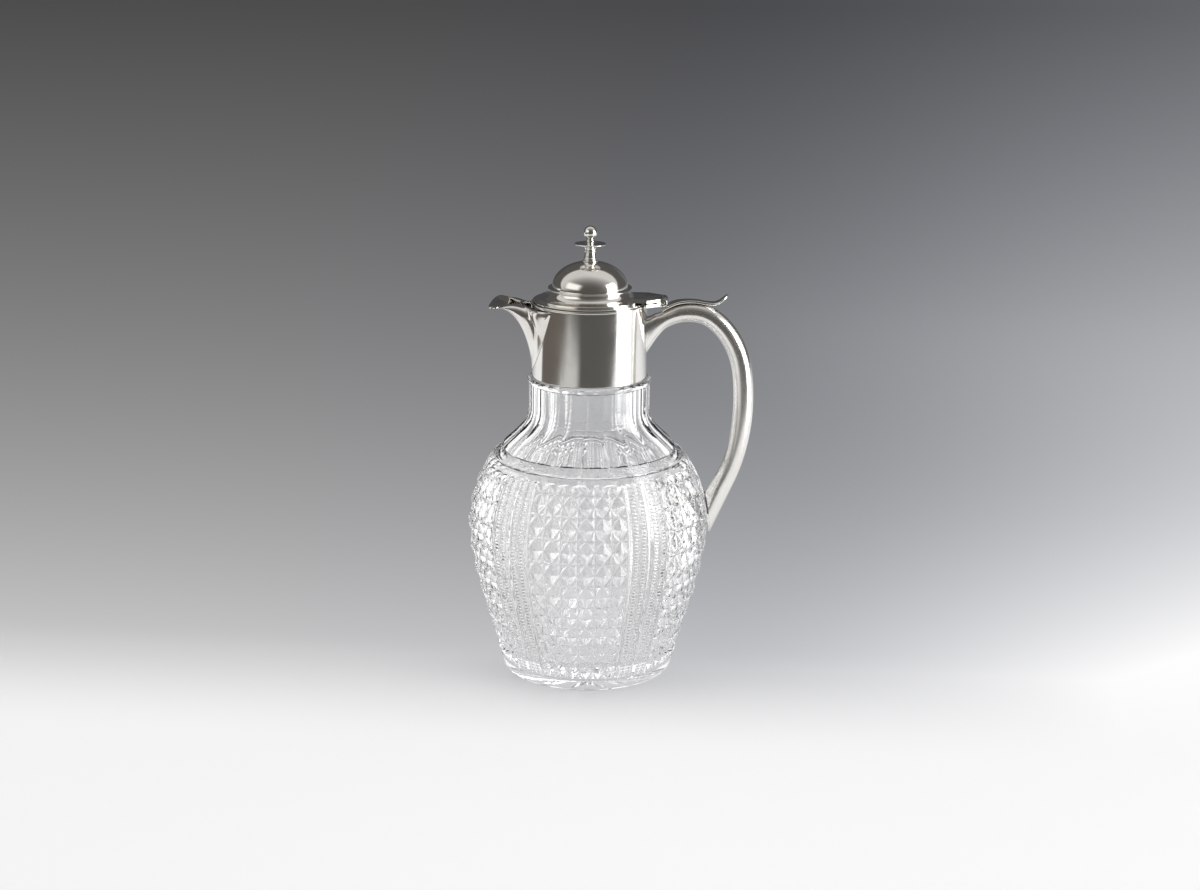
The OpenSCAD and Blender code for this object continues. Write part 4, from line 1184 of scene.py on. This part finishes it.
def build_lid_flange():
    """The lid's spun flange with its rim moulding and hollow"""
    face = lid_face()
    # The hollow's stretch of the face, which the inside follows at the sheet's thickness
    hollow = face[9:-1]
    inside = [(HOLLOW_R - 1, HOLLOW_Z + HOLLOW_H)]
    inside += [(min(r - 1, FLANGE_IN), max(z - 0.7, RIM_Z)) for r, z in reversed(hollow)]
    inside += [(FLANGE_IN, RIM_Z), (FLANGE_IN, SEAT_Z)]
    flange = turned("lid_flange_moulding", face + inside, 220)
    finish_silver(flange, "lid", "lid_flange", "silver_flange", (1.0, 1.0, 10.0))


def tongue_half(x):
    """Half width of the tongue at a distance from the axis"""
    return float(np.interp(x, [TONGUE_START, TONGUE_END], [TONGUE_HALF, HINGE_HALF]))


def build_tongue():
    """The tongue that carries the lid's two knuckles"""
    top = HINGE_Z + KNUCKLE_R
    low = top - 4.8
    half_plan = [(RIM_R - 6, TONGUE_HALF), (TONGUE_START, TONGUE_HALF), (TONGUE_END, HINGE_HALF),
                 (HINGE_X, HINGE_HALF)]
    plan = [(x, -y) for x, y in half_plan] + half_plan[::-1]
    tongue = prism("lid_tongue_block", plan, 2, low, top)
    wire_r, wire_top = MOUNT_R + 1.1, RIM_Z + GAP
    wire_room = [(0, low - 1), (wire_r, low - 1), (wire_r, wire_top), (0, wire_top)]
    cut(tongue, turned("wire_room", wire_room, 120))
    lid_shape = [(0, SEAT_Z - 1)] + [(r + GAP, z + (GAP if z > RIM_Z + 0.2 else 0)) for r, z in lid_face()]
    cut(tongue, turned("lid_room", lid_shape + [(0, HOLLOW_Z + HOLLOW_H + 1)], 120))
    # A groove along each flank
    x0, x1 = MOUNT_R + 0.8, GROOVE_END
    inner0, inner1 = tongue_half(x0) - 0.8, tongue_half(x1) - 0.8
    outer0, outer1 = tongue_half(x0) + 2, tongue_half(x1) + 2
    for side in (-1, 1):
        groove = [(x0, side * inner0), (x1, side * inner1), (x1, side * outer1), (x0, side * outer0)]
        cut(tongue, prism("flank_groove", groove, 2, top - 2.8, top - 1.9))
    soften_edges(tongue, 0.3, 2, 35)
    fuse(tongue, hinge_rod("outer_knuckles", KNUCKLE_R, HINGE_HALF, bevel=0.4))
    # Room for the middle knuckle and its post
    gap = MIDDLE_HALF + 0.3
    cut(tongue, hinge_rod("knuckle_gap", KNUCKLE_R + 0.35, gap, bevel=0.05))
    reach = KNUCKLE_R + 1
    back = [(HINGE_X, -gap), (HINGE_X + reach, -gap), (HINGE_X + reach, gap), (HINGE_X, gap)]
    cut(tongue, prism("knuckle_back", back, 2, HINGE_Z - reach, HINGE_Z + reach))
    cut(tongue, pin_bore(40))
    material = silver_plate("silver_tongue", (3.0, 3.0, 3.0))
    # The grooves' bottoms get near-black painted shade
    paint_groove_shade(material, (top - 2.35) * MM, 0.5 * MM)
    finish_piece(tongue, "lid", material, "silver_plate", "lid_tongue")


def dome_line(inset, steps=40):
    """Outline of the dome, or of its inner side, from the ring up to the stud's hole"""
    r, h = DOME_R - inset, DOME_H - inset
    last = math.acos((STUD_R + 0.1) / r)
    return [(r * math.cos(last * i / steps), DOME_Z + h * math.sin(last * i / steps))
            for i in range(steps + 1)]


def dome_height(r):
    """Height of the dome's outer side at a radius"""
    return DOME_Z + DOME_H * math.sqrt(1 - (r / DOME_R) ** 2)


def build_lid_ring():
    """The ring under the dome"""
    inner = DOME_R - 1.2
    ring = turned("lid_ring_moulding", rounded([
        (inner, RING_Z, 0), (24.4, RING_Z, 0.25), (25.1, RING_Z + 0.55, 0.5), (24.95, RING_Z + 1.2, 0.4),
        (DOME_R + 0.4, RING_Z + RING_H, 0.15), (inner, RING_Z + RING_H, 0)]), 200)
    finish_silver(ring, "lid", "lid_ring", "silver_ring", (1.0, 1.0, 8.0))


def build_dome():
    """The domed top of the lid"""
    dome = turned("lid_dome_shell", dome_line(0) + dome_line(1)[::-1], 220)
    finish_silver(dome, "lid", "lid_dome", "silver_dome", (1.0, 1.0, 10.0), tarnish=0.45)


# ------------------------------------------------------------------ finial

def build_finial_stem():
    """The turned stem that carries the saucer"""
    hole, foot, top, s = STUD_R + 0.1, 4.6, DOME_TOP, SAUCER_Z
    corners = [(hole, dome_height(hole) + GAP, 0), (foot / 2, dome_height(foot / 2) + GAP, 0),
               (foot, dome_height(foot) + GAP, 0.15),
               (foot, top + 0.5, 0.3), (3.75, top + 0.85, 0.3), (3.75, top + 1.2, 0.2),
               (4.1, top + 1.45, 0.3),
               (4.1, top + 1.8, 0.3), (3.7, top + 2.1, 0.3), (3.55, top + 3.4, 1.0), (3.2, top + 5.5, 0.3),
               (3.6, top + 5.85, 0.3), (3.6, top + 6.3, 0.3), (3.2, top + 6.65, 0.3), (3.3, s - 2.0, 1.2),
               (4.6, s - 1.0, 1.2), (7.0, s - 0.35, 1.2), (9.25, s - 0.1, 0.2), (9.4, s + 0.25, 0.2),
               (9.0, s + 0.6, 0.3), (4.5, s + 1.05, 0.8), (2.8, COLLAR_Z, 0.3), (hole, COLLAR_Z, 0)]
    stem = turned("finial_stem_turned", rounded(corners), 96)
    finish_silver(stem, "lid", "finial_stem", "silver_finial", (1.0, 1.0, 5.0), degrees=35)


def build_finial_ball():
    """The ball on its short collar"""
    hole, low = STUD_R + GAP, COLLAR_Z + GAP
    first, steps = math.asin(2.2 / BALL_R), 32
    turns = [first + (math.pi - first) * i / steps for i in range(steps)]
    arc = [(BALL_R * math.sin(turn), BALL_Z - BALL_R * math.cos(turn)) for turn in turns]
    arc.append((0.0, BALL_Z + BALL_R))
    collar = rounded([(hole, low, 0), (2.4, low, 0.15), (2.65, low + 0.35, 0.3), (2.4, low + 0.8, 0.2),
                      (2.05, low + 1.05, 0.2), (2.0, arc[0][1] - 0.05, 0.05)])
    ball = turned("finial_ball_turned", collar + arc + [(0.0, BALL_Z + 0.5), (hole, BALL_Z + 0.5)], 96)
    finish_silver(ball, "lid", "finial_knob", "silver_ball", (1.0, 1.0, 5.0), degrees=35)


# ------------------------------------------------------------------ fittings that keep the frame's own shape

def dress_hidden_fittings():
    """Materials for the small pieces that keep the shape they have in the frame"""
    silver = silver_plate("silver_fittings", (1.0, 1.0, 6.0))
    for material, names in ((setting_plaster(), ("neck_plaster",)),
                            (silver, ("lid_bezel", "handle_end_plate")),
                            (turned_brass(), ("finial_stud", "finial_washer", "finial_nut"))):
        for name in names:
            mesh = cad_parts[name].data
            mesh.materials.clear()
            mesh.materials.append(material)


# ------------------------------------------------------------------ stage

def look_at(obj, place, target):
    """Put a lamp or a card at a place, facing a target"""
    obj.location = place
    obj.rotation_euler = (Vector(target) - Vector(place)).to_track_quat("-Z", "Y").to_euler()


def softbox(name, place, target, width, height, power):
    """A soft lamp that lights the matt surfaces; the gloss sees the cards instead"""
    data = bpy.data.lights.new(name, "AREA")
    data.shape = "RECTANGLE"
    data.size, data.size_y = width, height
    data.energy = power
    lamp = bpy.data.objects.new(name, data)
    bpy.context.scene.collection.objects.link(lamp)
    look_at(lamp, place, target)
    lamp.visible_glossy = False
    lamp.visible_transmission = False


def mix_value(tree, factor, low, high):
    """Low where the factor is 0, high where it is 1"""
    low_part = math_node(tree, "MULTIPLY", math_node(tree, "SUBTRACT", 1.0, factor), low)
    return math_node(tree, "ADD", low_part, math_node(tree, "MULTIPLY", factor, high))


def scaled_colour(tree, colour, factor):
    """A colour times a factor, which may go above 1"""
    return add_node(tree, "ShaderNodeVectorMath", {0: colour, "Scale": factor}, operation="SCALE").outputs[0]


def show_glow(tree, colour, under, mask):
    """Let a glow show over another shader where the mask is 1"""
    glow = add_node(tree, "ShaderNodeEmission", {"Color": colour})
    mix = add_node(tree, "ShaderNodeMixShader", {"Fac": mask, 1: under, 2: glow.outputs["Emission"]})
    feed(tree, tree.nodes["Material Output"].inputs["Surface"], mix.outputs["Shader"])


def soft_edge(tree, value, soft):
    """1 in the middle of a card, falling to 0 at its edge"""
    return map_range(tree, math_node(tree, "ABSOLUTE", value), 1.0, 1.0 - soft)


def card(name, place, target, width, height, colour, soft, through=False):
    """A card with soft edges that only the gloss sees, and the glass too if it is seen through"""
    deselect()
    bpy.ops.mesh.primitive_plane_add(size=2, location=(0, 0, 0))
    piece = bpy.context.object
    piece.name = name
    piece.scale = (width / 2, height / 2, 1)
    look_at(piece, place, target)
    material, tree, shader = principled(name + "_face")
    tree.nodes.remove(shader)
    spot = axes(tree)
    mask = math_node(tree, "MULTIPLY", soft_edge(tree, spot["X"], soft), soft_edge(tree, spot["Y"], soft))
    show_glow(tree, colour, add_node(tree, "ShaderNodeBsdfTransparent").outputs["BSDF"], mask)
    piece.data.materials.append(material)
    piece.visible_camera = False
    piece.visible_diffuse = False
    piece.visible_shadow = False
    piece.visible_transmission = through


def sweep_material():
    """Pale floor that runs back into a glowing grey backdrop, whose painted light is graded and lighter
    towards the right
    """
    settings = bpy.context.scene.jug_stage
    material, tree, floor = principled("pale_sweep")
    place = axes(tree)
    x, y = place["X"], place["Y"]
    # The backdrop's painted light falls off with the distance behind the jug and is lighter on the right
    behind = math_node(tree, "MAXIMUM", y, 0.0)
    fall = math_node(tree, "DIVIDE", 0.277, math_node(tree, "ADD", behind, 0.506))
    fall = math_node(tree, "ADD", fall, 0.032)
    aside = math_node(tree, "DIVIDE", x, math_node(tree, "ADD", behind, 1.3))
    later = map_range(tree, behind, 1.1, 0.3, 0.0, 0.09)
    right = map_range(tree, math_node(tree, "SUBTRACT", aside, later), -0.05, 0.35, 1.0, 2.4)
    painted_backdrop_light = math_node(tree, "MINIMUM", math_node(tree, "MULTIPLY", fall, right), 1.0)
    # The glass and the silver also see the white table and the white flats beside the grey
    flats = map_range(tree, math_node(tree, "ABSOLUTE", aside), 0.06, 0.22, 0.27, 1.0)
    table = map_range(tree, behind, 0.9, 0.4)
    path = add_node(tree, "ShaderNodeLightPath").outputs
    through = math_node(tree, "MULTIPLY", flats, path["Is Transmission Ray"])
    gloss = math_node(tree, "MULTIPLY", math_node(tree, "MULTIPLY", flats, table), path["Is Glossy Ray"])
    white = math_node(tree, "MAXIMUM", through, gloss)
    bright = math_node(tree, "ADD", 0.97, math_node(tree, "MULTIPLY", through, 0.33))
    level = mix_value(tree, white, painted_backdrop_light, bright)
    cool = mix_colour(tree, map_range(tree, aside, -0.25, 0.1), (1.0, 0.985, 1.0), settings.wall[:])
    tint = mix_colour(tree, level, cool, (0.985, 0.985, 0.985))
    feed(tree, floor.inputs["Base Color"], settings.floor)
    floor.inputs["Roughness"].default_value = 0.9
    floor.inputs["Specular IOR Level"].default_value = 0.1
    show_glow(tree, scaled_colour(tree, tint, level), floor.outputs["BSDF"], map_range(tree, y, -0.14, 0.04))
    return material


def build_sweep():
    """The floor and the backdrop in one curved sheet"""
    width, front, back, radius, high = 9000.0, 2600.0, 6000.0, 1000.0, 3000.0
    flat = front + back
    arc = radius * math.pi / 2

    def place(u, v):
        x = (u - 0.5) * width
        run = v * (flat + arc + high - radius)
        if run < flat:
            return (x, run - front, 0)
        if run < flat + arc:
            turn = (run - flat) / radius
            return (x, back + radius * math.sin(turn), radius * (1 - math.cos(turn)))
        return (x, back + radius, radius + run - flat - arc)

    sweep = shaped_grid("studio_sweep", 12, 120, place)
    smooth(sweep, 60)
    sweep.data.materials.append(sweep_material())


def build_world():
    """Soft room light, with a tent for the silver and a white room for the glass"""
    world = bpy.data.worlds.new("soft_room")
    bpy.context.scene.world = world
    world.use_nodes = True
    tree = world.node_tree
    sky = tree.nodes["Background"]
    path = add_node(tree, "ShaderNodeLightPath").outputs
    spot = axes(tree, "Generated")
    y, z = spot["Y"], spot["Z"]
    # The silver sees a white tent overhead that darkens towards the front and ends behind the jug
    front = math_node(tree, "MAXIMUM", math_node(tree, "MULTIPLY", y, -1.0), 0.0)
    edge = map_range(tree, math_node(tree, "SUBTRACT", y, math_node(tree, "MULTIPLY", z, 0.62)), 0.03, -0.03)
    near = math_node(tree, "SUBTRACT", 1.0, front)
    tent = math_node(tree, "MULTIPLY", math_node(tree, "MULTIPLY", near, near), edge)
    silver = mix_colour(tree, tent, (0.095, 0.09, 0.086), (0.68, 0.67, 0.65))
    glass = mix_colour(tree, map_range(tree, y, -0.35, -0.75), (1.3, 1.3, 1.29), (1.02, 1.01, 1.0))
    room = mix_colour(tree, path["Is Glossy Ray"], (0.65, 0.65, 0.65), silver)
    room = mix_colour(tree, path["Is Camera Ray"], room, (0.42, 0.43, 0.45))
    feed(tree, sky.inputs["Color"], mix_colour(tree, path["Is Transmission Ray"], room, glass))
    sky.inputs["Strength"].default_value = 1.0


def build_stage():
    """The sweep, the cards, the lamps, the room and the camera"""
    bpy.context.scene.view_settings.view_transform = "Standard"
    build_sweep()
    # The dim studio in front of and beside the table, as the gloss sees it
    # Each card: place, target, width, height, colour, softness of its edges, and whether the glass sees it
    card("front_dim", (0, -1.98, 0.002), (0, -1.98, 1), 7.0, 3.0, (0.1, 0.097, 0.093), 0.02)
    card("left_dim", (-2.0, -0.35, 0.003), (-2.0, -0.35, 1), 2.8, 1.1, (0.13, 0.115, 0.1), 0.03)
    card("left_streak", (-0.44, -0.68, 0.004), (-0.44, -0.68, 1), 0.6, 0.6, (0.62, 0.62, 0.61), 0.6)
    # Soft white panels
    card("right_panel", (1.25, -0.25, 0.55), (0, 0, 0.2), 1.1, 1.1, (1.1, 1.1, 1.08), 0.5, True)
    card("right_strip", (0.505, -0.135, 0.3), (0, 0, 0.3), 0.3, 0.6, (8.0, 8.0, 7.9), 0.25, True)
    card("left_panel", (-0.95, -0.75, 0.75), (0, 0, 0.2), 1.5, 1.0, (1.2, 1.19, 1.16), 0.55, True)
    softbox("key_softbox", (0.9, -0.7, 1.3), (0, 0, 0.15), 0.9, 0.7, 5.8)
    softbox("top_softbox", (-0.1, -0.25, 1.7), (0, 0, 0.1), 1.2, 0.8, 5.4)
    softbox("left_fill", (-1.5, -0.5, 0.9), (0, 0, 0.15), 0.8, 1.0, 3.0)
    build_world()
    build_camera()


def build_camera():
    """The camera, above the jug and a little to its right"""
    data = bpy.data.cameras.new("studio_camera")
    camera = bpy.data.objects.new("studio_camera", data)
    bpy.context.scene.collection.objects.link(camera)
    data.lens, data.sensor_width = 66.0, 36.0
    data.shift_x, data.shift_y = 0.009375, -0.00167
    distance, up, aside, tilt = 1.3288, math.radians(15.02), math.radians(5.0), math.radians(0.47)
    target = Vector((0, 0, 0.14))
    back = Vector((math.cos(up) * math.sin(aside), -math.cos(up) * math.cos(aside), math.sin(up)))
    camera.location = target + back * distance
    camera.rotation_mode = "QUATERNION"
    camera.rotation_quaternion = (-back).to_track_quat("-Z", "Y") @ Quaternion((0, 0, 1), tilt)
    bpy.context.scene.camera = camera


# ------------------------------------------------------------------ operators

class JUG_OT_stage(bpy.types.Operator):
    """Add the floor, the backdrop, the lamps and the camera"""
    bl_idname = "claret_jug.stage"
    bl_label = "Stage"

    def execute(self, context):
        build_stage()
        return {"FINISHED"}


class JUG_OT_glass(bpy.types.Operator):
    """Add the cut-glass body with its fluted neck"""
    bl_idname = "claret_jug.glass"
    bl_label = "Glass body"

    def execute(self, context):
        build_glass()
        return {"FINISHED"}


class JUG_OT_neck_mount(bpy.types.Operator):
    """Add the sleeve on the neck and the wire on the mouth"""
    bl_idname = "claret_jug.neck_mount"
    bl_label = "Neck mount"

    def execute(self, context):
        build_neck_mount()
        build_mouth_wire()
        return {"FINISHED"}


class JUG_OT_spout(bpy.types.Operator):
    """Add the pouring spout"""
    bl_idname = "claret_jug.spout"
    bl_label = "Spout"

    def execute(self, context):
        build_spout()
        return {"FINISHED"}


class JUG_OT_handle(bpy.types.Operator):
    """Add the tube handle"""
    bl_idname = "claret_jug.handle"
    bl_label = "Handle"

    def execute(self, context):
        build_handle()
        return {"FINISHED"}


class JUG_OT_hinge(bpy.types.Operator):
    """Add the strap with the thumb rest and the hinge pin"""
    bl_idname = "claret_jug.hinge"
    bl_label = "Hinge"

    def execute(self, context):
        build_strap()
        build_hinge_pin()
        return {"FINISHED"}


class JUG_OT_lid(bpy.types.Operator):
    """Add the lid's flange, tongue, ring and dome"""
    bl_idname = "claret_jug.lid"
    bl_label = "Lid"

    def execute(self, context):
        build_lid_flange()
        build_tongue()
        build_lid_ring()
        build_dome()
        return {"FINISHED"}


class JUG_OT_finial(bpy.types.Operator):
    """Add the finial's stem and ball"""
    bl_idname = "claret_jug.finial"
    bl_label = "Finial"

    def execute(self, context):
        build_finial_stem()
        build_finial_ball()
        return {"FINISHED"}


class JUG_OT_fittings(bpy.types.Operator):
    """Dress the plaster, the bezel, the end plate and the brass fittings"""
    bl_idname = "claret_jug.fittings"
    bl_label = "Hidden fittings"

    def execute(self, context):
        dress_hidden_fittings()
        return {"FINISHED"}


class JUG_PT_panel(bpy.types.Panel):
    """Lists the jug's settings and pieces"""
    bl_label = "Claret Jug"
    bl_idname = "JUG_PT_panel"
    bl_space_type = "VIEW_3D"
    bl_region_type = "UI"
    bl_category = "Claret Jug"

    def draw(self, context):
        layout = self.layout
        scene = context.scene
        for settings, names in ((scene.jug_glass, ("columns", "cut_depth", "bore", "tint")),
                                (scene.jug_silver, ("colour", "tarnish", "polish")),
                                (scene.jug_stage, ("floor", "wall"))):
            box = layout.box()
            for name in names:
                box.prop(settings, name)
        for operator in OPERATORS:
            layout.operator(operator.bl_idname)


OPERATORS = (JUG_OT_stage, JUG_OT_glass, JUG_OT_neck_mount, JUG_OT_spout, JUG_OT_handle, JUG_OT_hinge,
             JUG_OT_lid, JUG_OT_finial, JUG_OT_fittings)
SETTINGS = {"jug_glass": JugGlassSettings, "jug_silver": JugSilverSettings, "jug_stage": JugStageSettings}


def register():
    for settings in SETTINGS.values():
        bpy.utils.register_class(settings)
    for operator in OPERATORS:
        bpy.utils.register_class(operator)
    bpy.utils.register_class(JUG_PT_panel)
    for name, settings in SETTINGS.items():
        setattr(bpy.types.Scene, name, PointerProperty(type=settings))


def unregister():
    for name in SETTINGS:
        delattr(bpy.types.Scene, name)
    bpy.utils.unregister_class(JUG_PT_panel)
    for operator in reversed(OPERATORS):
        bpy.utils.unregister_class(operator)
    for settings in reversed(list(SETTINGS.values())):
        bpy.utils.unregister_class(settings)


def main():
    register()
    bpy.ops.claret_jug.glass()
    bpy.ops.claret_jug.neck_mount()
    bpy.ops.claret_jug.spout()
    bpy.ops.claret_jug.handle()
    bpy.ops.claret_jug.hinge()
    bpy.ops.claret_jug.lid()
    bpy.ops.claret_jug.finial()
    bpy.ops.claret_jug.fittings()
    bpy.ops.claret_jug.stage()
    deselect()


if __name__ == "__main__":
    main()
